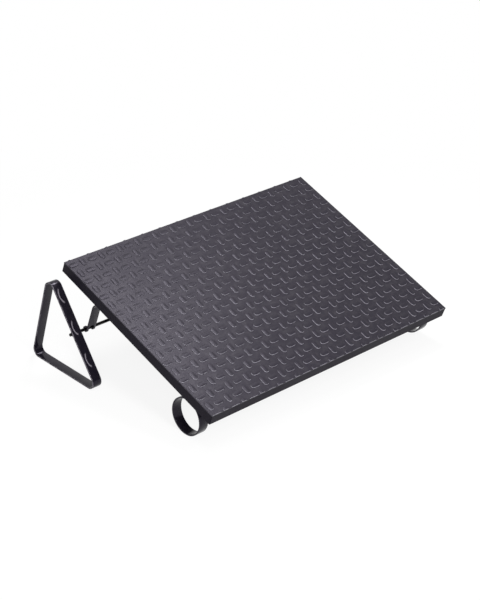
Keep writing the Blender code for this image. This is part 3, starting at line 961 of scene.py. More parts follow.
@dataclass
class StuddedMat:
    """Rubber mat with oblong studs laid in turn along and across, like a basket weave.

    Attributes:
        columns: Studs across the board.
        row_pitch: Distance between rows.
        first_row: Middle of the first row, from the front edge; the edge cuts it.
        stud_length: Length of a stud at its foot.
        stud_breadth: Breadth of a stud at its foot.
        stud_height: Height of a stud.
        shoulder: How far the rounded shoulder reaches in from the foot.
        base: Thickness of the mat between studs.
        rim: Chamfer of the cut edge.
        rim_highlight: How far the rim counts as a stud's side for the painted highlight, as a share of a
            stud's rise.
        steps: Faces along each side of a stud's cell.
    """

    columns: int = 28
    row_pitch: float = 0.0192
    first_row: float = -0.0015
    stud_length: float = 0.0165
    stud_breadth: float = 0.0085
    stud_height: float = 0.0010
    shoulder: float = 0.0004
    base: float = 0.0018
    rim: float = 0.0003
    rim_highlight: float = 0.1
    steps: int = 8

    def tree(self, board: BoardFrame, rows: int) -> ShapeTree:
        """Tree that raises the studs out of one grid.

        Each cell of the grid is a nest of square rings.  The inner rings are drawn to the stud's oblong
        outline and lifted; the outermost stays on the cell's border.

        Args:
            board: The board's frame.
            rows: Rows of studs.

        Returns:
            The tree.
        """
        shape = ShapeTree("studded sheet", {
            "Columns": self.columns, "Rows": rows, "Steps": self.steps,
            "Column pitch": board.width / self.columns, "Row pitch": self.row_pitch,
            "Stud length": self.stud_length, "Stud breadth": self.stud_breadth,
            "Stud height": self.stud_height, "Shoulder": self.shoulder})
        wiring, inlet = shape.wiring, shape.inlet
        spans, counts = [], []
        for cells, pitch in (("Columns", "Column pitch"), ("Rows", "Row pitch")):
            spans.append(wiring.number("MULTIPLY", inlet[cells], inlet[pitch]))
            counts.append(wiring.number("MULTIPLY_ADD", inlet[cells], inlet["Steps"], 1.0))
        grid = wiring.add("GeometryNodeMeshGrid", {"Size X": spans[0], "Size Y": spans[1],
                                                   "Vertices X": counts[0], "Vertices Y": counts[1]})
        place = wiring.add("ShaderNodeSeparateXYZ", {0: wiring.add("GeometryNodeInputPosition").outputs[0]})
        cell_index, cell_middle, from_middle = [], [], []
        for axis, (cells, pitch) in enumerate((("Columns", "Column pitch"), ("Rows", "Row pitch"))):
            start = wiring.number("MULTIPLY", spans[axis], 0.5)
            cell = wiring.number("DIVIDE", wiring.number("ADD", place.outputs[axis], start), inlet[pitch])
            last = wiring.number("SUBTRACT", inlet[cells], 1.0)
            index = wiring.number("MINIMUM", wiring.number("FLOOR", cell), last)
            offset = wiring.number("SUBTRACT", cell, wiring.number("ADD", index, 0.5))
            cell_index.append(index)
            from_middle.append(wiring.number("MULTIPLY", offset, 2.0))
            middle = wiring.number("MULTIPLY", wiring.number("ADD", index, 0.5), inlet[pitch])
            cell_middle.append(wiring.number("SUBTRACT", middle, start))
        across, along = from_middle
        ring = wiring.number("MAXIMUM", wiring.number("ABSOLUTE", across), wiring.number("ABSOLUTE", along))
        rings = wiring.number("MULTIPLY", inlet["Steps"], 0.5)
        ring_number = wiring.number("MULTIPLY", ring, rings)
        # The foot of the stud is the last ring but one; its shoulder turns through a quarter ellipse
        foot_ring = wiring.number("SUBTRACT", rings, 1.0)
        steps_in = wiring.number("SUBTRACT", foot_ring, ring_number)
        quarter = wiring.number("DIVIDE", steps_in, wiring.number("SUBTRACT", foot_ring, 1.0), clamp=True)
        angle = wiring.number("MULTIPLY", quarter, math.pi / 2)
        inset = wiring.number("MULTIPLY", inlet["Shoulder"],
                              wiring.number("SUBTRACT", 1.0, wiring.number("COSINE", angle)))
        rise = wiring.number("SINE", angle)
        # Studs whose column and row add up to an odd number run along the board, the others across it
        odd = wiring.number("MODULO", wiring.number("ADD", *cell_index), 2.0)
        even = wiring.number("SUBTRACT", 1.0, odd)
        unit_ring = wiring.number("MAXIMUM", ring, FLUSH)
        half_sizes = []
        for share in (even, odd):
            size = wiring.ramp(share, 0.0, 1.0, inlet["Stud breadth"], inlet["Stud length"])
            half_sizes.append(wiring.number("SUBTRACT", wiring.number("MULTIPLY", size, 0.5), inset))
        radius = wiring.number("MINIMUM", *half_sizes)
        flat, round_part = [], []
        for direction, half in zip((across, along), half_sizes):
            reach = wiring.number("MULTIPLY", wiring.number("DIVIDE", direction, unit_ring), half)
            straight = wiring.number("SUBTRACT", half, radius)
            kept = wiring.number("MINIMUM", wiring.number("MAXIMUM", reach,
                                                          wiring.number("MULTIPLY", straight, -1.0)),
                                 straight)
            flat.append(kept)
            round_part.append(wiring.number("SUBTRACT", reach, kept))
        outward = wiring.add("ShaderNodeCombineXYZ", {0: round_part[0], 1: round_part[1]}).outputs[0]
        outward = wiring.vector("NORMALIZE", outward)
        outward = wiring.add("ShaderNodeVectorMath", {0: outward, "Scale": radius},
                             operation="SCALE").outputs[0]
        inner = wiring.add("ShaderNodeCombineXYZ", {0: flat[0], 1: flat[1]}).outputs[0]
        outline = wiring.vector("ADD", inner, outward)
        towards_middle = wiring.number("MINIMUM", ring_number, 1.0)
        outline = wiring.add("ShaderNodeVectorMath", {0: outline, "Scale": towards_middle},
                             operation="SCALE").outputs[0]
        middle = wiring.add("ShaderNodeCombineXYZ", {0: cell_middle[0], 1: cell_middle[1]}).outputs[0]
        on_stud = wiring.vector("ADD", middle, outline)
        border = wiring.number("SUBTRACT", ring_number, foot_ring, clamp=True)
        flat_place = wiring.add("GeometryNodeInputPosition").outputs[0]
        drawn = wiring.add("ShaderNodeMix", {0: border, 4: on_stud, 5: flat_place},
                           data_type="VECTOR").outputs[1]
        lift = wiring.number("MULTIPLY", rise, inlet["Stud height"])
        lifted = wiring.vector("ADD", drawn, wiring.add("ShaderNodeCombineXYZ", {2: lift}).outputs[0])
        marked = wiring.add("GeometryNodeStoreNamedAttribute",
                            {"Geometry": grid.outputs["Mesh"], "Name": "rise", "Value": rise},
                            data_type="FLOAT", domain="POINT")
        raised = wiring.add("GeometryNodeSetPosition", {"Geometry": marked.outputs[0], "Position": lifted})
        shape.close(raised.outputs[0])
        return shape

    def trim(self, mat: bpy.types.Object, board: BoardFrame) -> None:
        """Cut the sheet to the board, chamfer its rim and close its sides and underside.

        Args:
            mat: The raised sheet in the board's frame, with its base at height 0.
            board: The board's frame.
        """
        shape = bmesh.new()
        shape.from_mesh(mat.data)
        half = board.width / 2
        cuts = (((half - self.rim, 0, 0), (1, 0, 0)), ((self.rim - half, 0, 0), (-1, 0, 0)),
                ((0, self.rim, 0), (0, -1, 0)), ((0, board.depth - self.rim, 0), (0, 1, 0)))
        for point, outward in cuts:
            everything = shape.verts[:] + shape.edges[:] + shape.faces[:]
            bmesh.ops.bisect_plane(shape, geom=everything, dist=CUT_SNAP, plane_co=point, plane_no=outward,
                                   clear_outer=True)
        rim = [edge for edge in shape.edges if edge.is_boundary]
        rise = shape.verts.layers.float["rise"]
        for spread in (self.rim, 0.0):
            swept = bmesh.ops.extrude_edge_only(shape, edges=rim)["geom"]
            rim = [item for item in swept if isinstance(item, bmesh.types.BMEdge)]
            for vert in (item for item in swept if isinstance(item, bmesh.types.BMVert)):
                place = vert.co.copy()
                for point, outward in cuts:
                    if abs((place - Vector(point)).dot(Vector(outward))) < MILLIMETRE / 100:
                        vert.co += Vector(outward) * spread
                vert.co.z = vert.co.z - spread if spread else -self.base
                # The rim's chamfer takes part of the studs' painted highlight; the underside takes none
                vert[rise] = self.rim_highlight if spread else 0.0
        bmesh.ops.holes_fill(shape, edges=rim)
        bmesh.ops.recalc_face_normals(shape, faces=shape.faces)
        shape.to_mesh(mat.data)
        shape.free()

    def build(self, board: BoardFrame, finish: bpy.types.Material) -> bpy.types.Object:
        """Make the mat in place.

        Args:
            board: The board's frame.
            finish: Its material.

        Returns:
            The mat.
        """
        rows = math.ceil((board.depth - self.first_row) / self.row_pitch + 0.5)
        mat = self.tree(board, rows).grow(new_object("studded_mat"), finish)
        middle = self.first_row + (rows - 1) * self.row_pitch / 2
        mat.data.transform(Matrix.Translation((0, middle, 0)))
        self.trim(mat, board)
        packed = bpy.data.objects["tread_mat"].data
        underside = min(board.local(corner.co).z for corner in packed.vertices)
        mat.data.transform(board.matrix @ Matrix.Translation((0, 0, underside + self.base)))
        return smooth(mat, math.radians(25))


@dataclass
class EdgeStrips:
    """Black edging round the board, with its corners and edges eased.

    Attributes:
        thickness: Thickness of a strip.
        corner: Radius of the board's four upright corners.
        easing: Radius of the long edges.
        gap: Room between the ends of a front or rear strip and the side strips.
        margin: An edge that lies less than this inside the board's outline is an outer one.
        shortest: Edges no longer than this are left sharp.
    """

    thickness: float = 0.0010
    corner: float = 0.0007
    easing: float = 0.00025
    gap: float = 0.0003
    margin: float = 0.0008
    shortest: float = 0.0001

    def strip(self, name: str, low: Sequence[float], high: Sequence[float], board: BoardFrame,
              finish: bpy.types.Material) -> bpy.types.Object:
        """One strip between two corners in the board's frame.

        Args:
            name: Name of the strip.
            low: Its lowest corner.
            high: Its highest corner.
            board: The board's frame.
            finish: Its material.

        Returns:
            The strip in place.
        """
        shape = bmesh.new()
        bmesh.ops.create_cube(shape, size=1.0)
        size = Vector(high) - Vector(low)
        bmesh.ops.scale(shape, vec=size, verts=shape.verts)
        bmesh.ops.translate(shape, vec=(Vector(high) + Vector(low)) / 2, verts=shape.verts)
        half = board.width / 2
        upright = [edge for edge in shape.edges
                   if all(math.isclose(abs(vert.co.x), half, abs_tol=1e-5) for vert in edge.verts)
                   and math.isclose(edge.verts[0].co.y, edge.verts[1].co.y, abs_tol=1e-5)]
        if upright:
            bmesh.ops.bevel(shape, geom=upright, offset=self.corner, segments=4, affect="EDGES")
        outer = [edge for edge in shape.edges if self.is_outer(edge, board)]
        bmesh.ops.bevel(shape, geom=outer, offset=self.easing, segments=2, affect="EDGES")
        piece = new_object(name, shape)
        piece.data.materials.append(finish)
        piece.data.transform(board.matrix)
        return smooth(piece)

    def is_outer(self, edge: bmesh.types.BMEdge, board: BoardFrame) -> bool:
        """Whether an edge runs round the outside of the board, at its top or underside.

        Args:
            edge: An edge of a strip in the board's frame.
            board: The board's frame.

        Returns:
            Whether it does.
        """
        level = math.isclose(edge.verts[0].co.z, edge.verts[1].co.z, abs_tol=FLUSH)
        outside = all(abs(vert.co.x) > board.width / 2 - self.margin
                      or not self.margin < vert.co.y < board.depth - self.margin for vert in edge.verts)
        return level and outside and edge.calc_length() > self.shortest

    def build(self, board: BoardFrame, finish: bpy.types.Material) -> dict[str, bpy.types.Object]:
        """Make the four strips.

        Args:
            board: The board's frame.
            finish: Their material.

        Returns:
            Each strip by the name of its side.
        """
        half, inner = board.width / 2, board.width / 2 - self.thickness
        between = inner - self.gap
        rear = board.depth - self.thickness
        top = board.thickness
        spans = {"left": ((-half, 0, 0), (-inner, board.depth, top)),
                 "right": ((inner, 0, 0), (half, board.depth, top)),
                 "front": ((-between, 0, 0), (between, self.thickness, top)),
                 "rear": ((-between, rear, 0), (between, board.depth, top))}
        return {side: self.strip(f"{side}_edging", *span, board, finish) for side, span in spans.items()}


@dataclass
class FlatBar:
    """Flat bar with rounded edges, swept along a path.

    Attributes:
        width: Width of the bar, across the board.
        thickness: Its thickness.
        edge_radius: Radius of its four edges.
        edge_steps: Faces round each edge.
    """

    width: float
    thickness: float = 0.0020
    edge_radius: float = 0.0006
    edge_steps: int = 3

    def tree(self) -> ShapeTree:
        """Tree that sweeps the bar's section along the host's edges.

        Returns:
            The tree; the path lies in the host's XY plane and the bar's width along its Z.
        """
        shape = ShapeTree("flat bar", {"Width": self.width, "Thickness": self.thickness,
                                       "Edge radius": self.edge_radius, "Edge steps": self.edge_steps})
        wiring, inlet = shape.wiring, shape.inlet
        path = wiring.add("GeometryNodeMeshToCurve", {0: inlet["Geometry"]}).outputs[0]
        path = wiring.add("GeometryNodeSetCurveNormal", {0: path}, mode="Z_UP").outputs[0]
        run = wiring.add("GeometryNodeSplineParameter").outputs["Length"]
        path = wiring.add("GeometryNodeStoreNamedAttribute",
                          {"Geometry": path, "Name": "run", "Value": run},
                          data_type="FLOAT", domain="POINT").outputs[0]
        section = wiring.add("GeometryNodeCurvePrimitiveQuadrilateral",
                             {"Width": inlet["Thickness"], "Height": inlet["Width"]}).outputs[0]
        section = wiring.add("GeometryNodeFilletCurve", {"Curve": section, "Count": inlet["Edge steps"],
                                                         "Radius": inlet["Edge radius"]},
                             mode="POLY").outputs[0]
        place = wiring.add("ShaderNodeSeparateXYZ", {0: wiring.add("GeometryNodeInputPosition").outputs[0]})
        for name, axis in (("through", 0), ("across", 1)):
            section = wiring.add("GeometryNodeStoreNamedAttribute",
                                 {"Geometry": section, "Name": name, "Value": place.outputs[axis]},
                                 data_type="FLOAT", domain="POINT").outputs[0]
        bar = wiring.add("GeometryNodeCurveToMesh", {"Curve": path, "Profile Curve": section,
                                                     "Fill Caps": True}).outputs[0]
        shape.close(bar)
        return shape

    def sweep(self, name: str, path: Sequence[Point], closed: bool, place: Matrix,
              finish: bpy.types.Material) -> bpy.types.Object:
        """Bend a bar along a side-view path.

        Args:
            name: Name of the piece.
            path: Middle of the bar's thickness, as along and up.
            closed: Whether the path closes on itself.
            place: Takes across, along and up to the model's frame.
            finish: Material of the bar.

        Returns:
            The bar in place.
        """
        shape = bmesh.new()
        rail = [shape.verts.new((along, up, 0)) for along, up in path]
        for pair in zip(rail, rail[1:]):
            shape.edges.new(pair)
        if closed:
            shape.edges.new((rail[-1], rail[0]))
        bar = self.tree().grow(new_object(name, shape), finish)
        # The path was drawn in X and Y: they become along and up, and Z becomes across
        side_view = Matrix(((0, 0, 1, 0), (1, 0, 0, 0), (0, 1, 0, 0), (0, 0, 0, 1)))
        bar.data.transform(place @ side_view)
        return smooth(bar, BAR_CREASE)


def drill(name: str, radius: float, low: float, high: float, place: Matrix) -> bpy.types.Object:
    """Round cutter for a screw hole.

    Args:
        name: Its name.
        radius: Radius of the hole.
        low: Height where the cutter starts.
        high: Height where it ends.
        place: Takes the cutter to the model's frame.

    Returns:
        The cutter.
    """
    shape = bmesh.new()
    bmesh.ops.create_cone(shape, cap_ends=True, segments=24, radius1=radius, radius2=radius,
                          depth=high - low)
    bmesh.ops.translate(shape, vec=(0, 0, (low + high) / 2), verts=shape.verts)
    bmesh.ops.transform(shape, matrix=place, verts=shape.verts)
    return new_object(name, shape)


@dataclass
class ScrewSet:
    """Round headed cross recess screws, driven upwards into the board.

    Attributes:
        diameter: Diameter of the shank.
        head: Diameter of the head.
        length: Length under the head.
        head_height: Height of the domed head.
        rim_height: Height of the head's upright rim.
        recess: Length of the cross recess.
        slot: Width of its slots.
        clearance: Room round the shank.
        seed: Start of the random turn of each head.
    """

    diameter: float
    head: float
    length: float = 0.0140
    head_height: float = 0.0024
    rim_height: float = 0.0006
    recess: float = 0.0042
    slot: float = 0.0009
    clearance: float = 0.0003
    seed: int = 7

    def tree(self) -> ShapeTree:
        """Tree that puts a screw on each point of the host, head downwards.

        Returns:
            The tree.
        """
        shape = ShapeTree("domed screws", {
            "Shank radius": self.diameter / 2, "Head radius": self.head / 2, "Length": self.length,
            "Head height": self.head_height, "Rim height": self.rim_height, "Recess": self.recess,
            "Slot": self.slot, "Seed": self.seed})
        wiring, inlet = shape.wiring, shape.inlet
        head = wiring.add("GeometryNodeMeshCylinder", {
            "Vertices": 32, "Side Segments": 1, "Fill Segments": 6, "Radius": inlet["Head radius"],
            "Depth": inlet["Head height"]}, fill_type="TRIANGLE_FAN").outputs["Mesh"]
        place = wiring.add("ShaderNodeSeparateXYZ", {0: wiring.add("GeometryNodeInputPosition").outputs[0]})
        out = wiring.number("SQRT", wiring.number("ADD", wiring.number("POWER", place.outputs[0], 2.0),
                                                  wiring.number("POWER", place.outputs[1], 2.0)))
        share = wiring.number("DIVIDE", out, inlet["Head radius"])
        dome = wiring.number("SUBTRACT", 1.0, wiring.number("POWER", share, 3.0))
        # The upper face is drawn down to the rim, so that it domes towards the middle
        fall = wiring.number("MULTIPLY", wiring.number("SUBTRACT", 1.0, dome),
                             wiring.number("SUBTRACT", inlet["Rim height"], inlet["Head height"]))
        upper = wiring.number("GREATER_THAN", place.outputs[2], 0.0)
        head = wiring.add("GeometryNodeSetPosition", {
            "Geometry": head, "Selection": upper,
            "Offset": wiring.add("ShaderNodeCombineXYZ", {2: fall}).outputs[0]}).outputs[0]
        cross = []
        for sizes in (("Recess", "Slot"), ("Slot", "Recess")):
            size = wiring.add("ShaderNodeCombineXYZ", {0: inlet[sizes[0]], 1: inlet[sizes[1]],
                                                       2: inlet["Head height"]}).outputs[0]
            cross.append(wiring.add("GeometryNodeMeshCube", {"Size": size}).outputs["Mesh"])
        lift = wiring.add("ShaderNodeCombineXYZ", {2: wiring.number("MULTIPLY", inlet["Head height"],
                                                                    0.55)}).outputs[0]
        for arm in cross:
            raised = wiring.add("GeometryNodeTransform", {"Geometry": arm, "Translation": lift}).outputs[0]
            head = wiring.add("GeometryNodeMeshBoolean", {"Mesh 1": head, "Mesh 2": raised},
                              operation="DIFFERENCE", solver="MANIFOLD").outputs["Mesh"]
        half = wiring.number("MULTIPLY", inlet["Head height"], 0.5)
        head = wiring.add("GeometryNodeTransform", {
            "Geometry": head,
            "Translation": wiring.add("ShaderNodeCombineXYZ", {2: half}).outputs[0]}).outputs[0]
        shank = self.shank(wiring, inlet)
        screw = wiring.add("GeometryNodeMeshBoolean", {"Mesh 2": head}, operation="UNION",
                           solver="MANIFOLD")
        wiring.join(shank, screw.inputs["Mesh 2"])
        spin = wiring.add("FunctionNodeRandomValue", {3: math.pi, "Seed": inlet["Seed"]},
                          data_type="FLOAT")
        turn = wiring.add("ShaderNodeCombineXYZ", {0: math.pi, 2: spin.outputs[1]}).outputs[0]
        points = wiring.add("GeometryNodeMeshToPoints", {0: inlet["Geometry"]}).outputs[0]
        placed = wiring.add("GeometryNodeInstanceOnPoints", {
            "Points": points, "Instance": screw.outputs["Mesh"], "Rotation": turn}).outputs[0]
        shape.close(placed)
        return shape

    @staticmethod
    def shank(wiring: Wiring, inlet: bpy.types.NodeOutputs) -> bpy.types.NodeSocket:
        """Shank that starts inside the head and ends in a point.

        Args:
            wiring: Wiring of the screw's tree.
            inlet: The tree's inputs.

        Returns:
            The shank.
        """
        root = wiring.number("MULTIPLY", inlet["Head height"], 0.2)
        depth = wiring.number("ADD", inlet["Length"], root)
        rod = wiring.add("GeometryNodeMeshCylinder", {
            "Vertices": 24, "Side Segments": 8, "Fill Segments": 1, "Radius": inlet["Shank radius"],
            "Depth": depth}, fill_type="TRIANGLE_FAN").outputs["Mesh"]
        place = wiring.add("GeometryNodeInputPosition").outputs[0]
        above = wiring.number("ADD", wiring.add("ShaderNodeSeparateXYZ", {0: place}).outputs[2],
                              wiring.number("MULTIPLY", depth, 0.5))
        taper = wiring.number("DIVIDE", above, wiring.number("MULTIPLY", inlet["Shank radius"], 2.0))
        width = wiring.number("MINIMUM", 1.0, wiring.number("MULTIPLY_ADD", taper, 0.85, 0.15))
        thin = wiring.vector("MULTIPLY", place,
                             wiring.add("ShaderNodeCombineXYZ", {0: width, 1: width, 2: 1.0}).outputs[0])
        pointed = wiring.add("GeometryNodeSetPosition", {"Geometry": rod, "Position": thin}).outputs[0]
        sunk = wiring.number("SUBTRACT", root, wiring.number("MULTIPLY", depth, 0.5))
        return wiring.add("GeometryNodeTransform", {
            "Geometry": pointed,
            "Translation": wiring.add("ShaderNodeCombineXYZ", {2: sunk}).outputs[0]}).outputs[0]

    def build(self, name: str, seats: Sequence[Vector], board: BoardFrame,
              finish: bpy.types.Material) -> bpy.types.Object:
        """Make the screws in place.

        Args:
            name: Name of the set.
            seats: Undersides of the heads in the board's frame.
            board: The board's frame.
            finish: Their material.

        Returns:
            The screws as one piece.
        """
        shape = bmesh.new()
        for seat in seats:
            shape.verts.new(seat)
        screws = self.tree().grow(new_object(name, shape), finish)
        screws.data.transform(board.matrix)
        return smooth(screws)

    def drills(self, seats: Sequence[Vector], reach: float, board: BoardFrame) -> list[bpy.types.Object]:
        """Cutters for the screws' holes in a bracket.

        Args:
            seats: Undersides of the heads in the board's frame.
            reach: How far each cutter runs past the seat, both ways.
            board: The board's frame.

        Returns:
            The cutters.
        """
        radius = self.diameter / 2 + self.clearance
        return [drill(f"drill_{index}", radius, -reach, reach, board.matrix @ Matrix.Translation(seat))
                for index, seat in enumerate(seats)]


@dataclass
class HoopFoot:
    """A bent hoop under the front of the board.

    Attributes:
        bar: The bar that it is bent from.
        screws: The two screws that hold it.
        pitch: Distance between them, across.
        steps: Steps round the hoop.
    """

    bar: FlatBar
    screws: ScrewSet = field(default_factory=lambda: ScrewSet(diameter=0.0035, head=0.0070))
    pitch: float = 0.0085
    steps: int = 96

    def build(self, side: Side, board: BoardFrame, fitter: Fitter, effects: Effects) -> None:
        """Make one hoop with its screws and fit them.

        Args:
            side: The side of the board.
            board: The board's frame.
            fitter: What the pieces are handed to.
            effects: The shared surface effects.
        """
        node = f"{side.label}_hoop_foot"
        low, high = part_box(node)
        centre = (low + high) / 2
        radius = (high.z - low.z) / 2
        ring = arc((0, 0), radius - self.bar.thickness / 2, 0, 2 * math.pi, self.steps)[:-1]
        hoop = self.bar.sweep(f"{side.label}_hoop", ring, True, Matrix.Translation(centre),
                              BRACKET_ENAMEL.material(effects))
        seats = self.seats(side, board, board.local(centre), radius)
        cut(hoop, self.screws.drills(seats, 3 * self.bar.thickness, board))
        fitter.fit(smooth(hoop, BAR_CREASE), Body.BOARD, Slot.ENAMEL, node)
        names = [f"{side.label}_hoop_screw_{label}" for label in ("outer", "inner")]
        screws = self.screws.build(f"{side.label}_hoop_screws", seats, board, ROD_STEEL.material(effects))
        fitter.fit(screws, Body.BOARD, Slot.STEEL, *names)

    def seats(self, side: Side, board: BoardFrame, centre: Vector, radius: float) -> list[Vector]:
        """Undersides of the screw heads, on the inside of the hoop.

        Args:
            side: The side of the board.
            board: The board's frame; not used.
            centre: Middle of the hoop in the board's frame.
            radius: Its outer radius.

        Returns:
            The two seats in the board's frame.
        """
        inner = radius - self.bar.thickness
        height = math.sqrt(inner ** 2 - (self.screws.head / 2) ** 2)
        return [Vector((centre.x + way * side.value * self.pitch / 2, centre.y, centre.z + height))
                for way in (1, -1)]


@dataclass
class Hanger:
    """A hanger under the rear of the board, rolled round the rod at its foot.

    Attributes:
        bar: The bar that it is bent from.
        screws: The two screws through its flange.
        flange: Length of the flat under the board.
        bend_radius: Inner radius of the bend.
        clearance: Room between eye and rod, and under the board.
        eye_wrap: How far the eye runs round the rod.
        notch_width: Width of the notch between the knuckles.
        notch_height: Height of its round top over the rod's axis.
        screw_edge: Distance from the flange's end to a screw.
        steps: Steps in the bend; the eye has three times as many.
    """

    bar: FlatBar
    screws: ScrewSet = field(default_factory=lambda: ScrewSet(diameter=0.004, head=0.008))
    flange: float = 0.040
    bend_radius: float = 0.013
    clearance: float = 0.0003
    eye_wrap: float = math.radians(290)
    notch_width: float = 0.010
    notch_height: float = 0.009
    screw_edge: float = 0.010
    steps: int = 16

    def eye_radius(self, rod_radius: float) -> float:
        """Radius of the middle of the bar round the rod."""
        return rod_radius + self.clearance + self.bar.thickness / 2

    def path(self, rod: Vector, rod_radius: float) -> list[Point]:
        """Middle line of the bar: flange, bend, strap and eye.

        Args:
            rod: The rod's axis in the board's frame.
            rod_radius: Its radius.

        Returns:
            The line as along and up.
        """
        eye = self.eye_radius(rod_radius)
        strap = rod.y - eye
        under = -(self.clearance + self.bar.thickness / 2)
        bend = self.bend_radius + self.bar.thickness / 2
        line = [(strap - bend - self.flange, under)]
        line += arc((strap - bend, under - bend), bend, math.pi / 2, 0, self.steps)
        line += arc((rod.y, rod.z), eye, math.pi, math.pi + self.eye_wrap, 3 * self.steps)
        return line

    def notch(self, rod: Vector, rod_radius: float, x: float, board: BoardFrame) -> bpy.types.Object:
        """Cutter for the round topped notch that leaves two knuckles.

        Args:
            rod: The rod's axis in the board's frame.
            rod_radius: Its radius.
            x: Middle of the hanger.
            board: The board's frame.

        Returns:
            The cutter.
        """
        half = self.notch_width / 2
        deep = 2 * (self.eye_radius(rod_radius) + self.bar.thickness)
        top = rod.z + self.notch_height - half
        outline = [(half, rod.z - deep)] + arc((0, top), half, 0, math.pi, self.steps)
        outline += [(-half, rod.z - deep)]
        shape = bmesh.new()
        face = shape.faces.new([shape.verts.new((x + across, rod.y - deep, up)) for across, up in outline])
        swept = bmesh.ops.extrude_face_region(shape, geom=[face])["geom"]
        far = [item for item in swept if isinstance(item, bmesh.types.BMVert)]
        bmesh.ops.translate(shape, vec=(0, 2 * deep, 0), verts=far)
        bmesh.ops.recalc_face_normals(shape, faces=shape.faces)
        bmesh.ops.transform(shape, matrix=board.matrix, verts=shape.verts)
        return new_object("notch", shape)

    def build(self, side: Side, board: BoardFrame, rod: "CrossRod", fitter: Fitter,
              effects: Effects) -> None:
        """Make one hanger with its screws and fit them.

        Args:
            side: The side of the board.
            board: The board's frame.
            rod: The rod that it is rolled round.
            fitter: What the pieces are handed to.
            effects: The shared surface effects.
        """
        node = f"{side.label}_hanger"
        low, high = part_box(node)
        x = (low.x + high.x) / 2
        axis = board.local(rod.axis)
        line = self.path(axis, rod.radius)
        place = board.matrix @ Matrix.Translation((x, 0, 0))
        hanger = self.bar.sweep(f"{side.label}_hanger_strap", line, False, place,
                                BRACKET_ENAMEL.material(effects))
        flange_end = line[0][0] + self.flange
        under = -(2 * self.clearance + self.bar.thickness)
        seats = [Vector((x, along, under)) for along in (line[0][0] + self.screw_edge,
                                                         flange_end - self.screw_edge)]
        cutters = self.screws.drills(seats, 2 * self.bar.thickness, board)
        cut(hanger, [self.notch(axis, rod.radius, x, board)] + cutters)
        fitter.fit(smooth(hanger, BAR_CREASE), Body.BOARD, Slot.ENAMEL, node)
        names = [f"{side.label}_hanger_screw_{label}" for label in ("front", "rear")]
        screws = self.screws.build(f"{side.label}_hanger_screws", seats, board, ROD_STEEL.material(effects))
        fitter.fit(screws, Body.BOARD, Slot.STEEL, *names)


@dataclass
class CrossRod:
    """The round rod that carries the legs.

    Attributes:
        axis: Middle of the rod.
        radius: Its radius.
        length: Its length.
        chamfer: Chamfer at its ends.
        steps: Faces round it.
    """

    axis: Vector
    radius: float
    length: float
    chamfer: float = 0.0005
    steps: int = 40

    @classmethod
    def read(cls) -> "CrossRod":
        """Take the rod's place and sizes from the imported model."""
        low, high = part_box("cross_rod")
        return cls(axis=(low + high) / 2, radius=(high.z - low.z) / 2, length=high.x - low.x)

    def build(self, fitter: Fitter, effects: Effects) -> None:
        """Turn the rod and fit it.

        Args:
            fitter: What the piece is handed to.
            effects: The shared surface effects.
        """
        half = self.length / 2
        profile = [(0.0, -half), (self.radius - self.chamfer, -half), (self.radius, -half + self.chamfer),
                   (self.radius, half - self.chamfer), (self.radius - self.chamfer, half), (0.0, half)]
        shape = bmesh.new()
        points = [shape.verts.new((along, 0, out)) for out, along in profile]
        edges = [shape.edges.new(pair) for pair in zip(points, points[1:])]
        bmesh.ops.spin(shape, geom=points + edges, cent=(0, 0, 0), axis=(1, 0, 0), dvec=(0, 0, 0),
                       angle=2 * math.pi, steps=self.steps)
        bmesh.ops.remove_doubles(shape, verts=shape.verts, dist=FLUSH)
        bmesh.ops.recalc_face_normals(shape, faces=shape.faces)
        bmesh.ops.translate(shape, vec=self.axis, verts=shape.verts)
        rod = new_object("round_rod", shape)
        rod.data.materials.append(ROD_STEEL.material(effects))
        fitter.fit(smooth(rod), Body.LEGS, Slot.STEEL, "cross_rod")


@dataclass
class WeldBead:
    """A rippled weld bead.

    Attributes:
        radius: Radius of the bead.
        length: Its length.
        ripple: Distance between ripples.
        flatness: Height of a ripple as a share of its radius.
        smallest: Size of the smallest ripple, as a share of the radius.
        largest: Size of the largest, likewise.
        seed: Start of the ripples' random sizes.
    """

    radius: float = 0.0017
    length: float = 0.0140
    ripple: float = 0.0011
    flatness: float = 0.55
    smallest: float = 0.88
    largest: float = 1.04
    seed: int = 11

    def tree(self) -> ShapeTree:
        """Tree that lays overlapping drops along the host's edge.

        Returns:
            The tree.
        """
        shape = ShapeTree("weld ripples", {"Radius": self.radius, "Ripple": self.ripple,
                                           "Seed": self.seed})
        wiring, inlet = shape.wiring, shape.inlet
        path = wiring.add("GeometryNodeMeshToCurve", {0: inlet["Geometry"]}).outputs[0]
        points = wiring.add("GeometryNodeCurveToPoints", {"Curve": path, "Length": inlet["Ripple"]},
                            mode="LENGTH").outputs
        drop = wiring.add("GeometryNodeMeshUVSphere", {"Segments": 12, "Rings": 8,
                                                       "Radius": inlet["Radius"]}).outputs["Mesh"]
        flat = wiring.add("GeometryNodeTransform", {"Geometry": drop,
                                                    "Scale": Vector((1, 1, self.flatness))})
        size = wiring.add("FunctionNodeRandomValue", {2: self.smallest, 3: self.largest,
                                                      "Seed": inlet["Seed"]}, data_type="FLOAT")
        placed = wiring.add("GeometryNodeInstanceOnPoints", {
            "Points": points["Points"], "Instance": flat.outputs[0], "Rotation": points["Rotation"],
            "Scale": size.outputs[1]}).outputs[0]
        shape.close(placed)
        return shape

    def build(self, name: str, centres: Sequence[Vector], finish: bpy.types.Material) -> bpy.types.Object:
        """Lay a bead across the bar at each centre.

        Args:
            name: Name of the piece.
            centres: Middles of the beads.
            finish: Their material.

        Returns:
            The beads as one piece.
        """
        shape = bmesh.new()
        reach = Vector((self.length / 2, 0, 0))
        for centre in centres:
            shape.edges.new((shape.verts.new(centre - reach), shape.verts.new(centre + reach)))
        return smooth(self.tree().grow(new_object(name, shape), finish), math.radians(70))


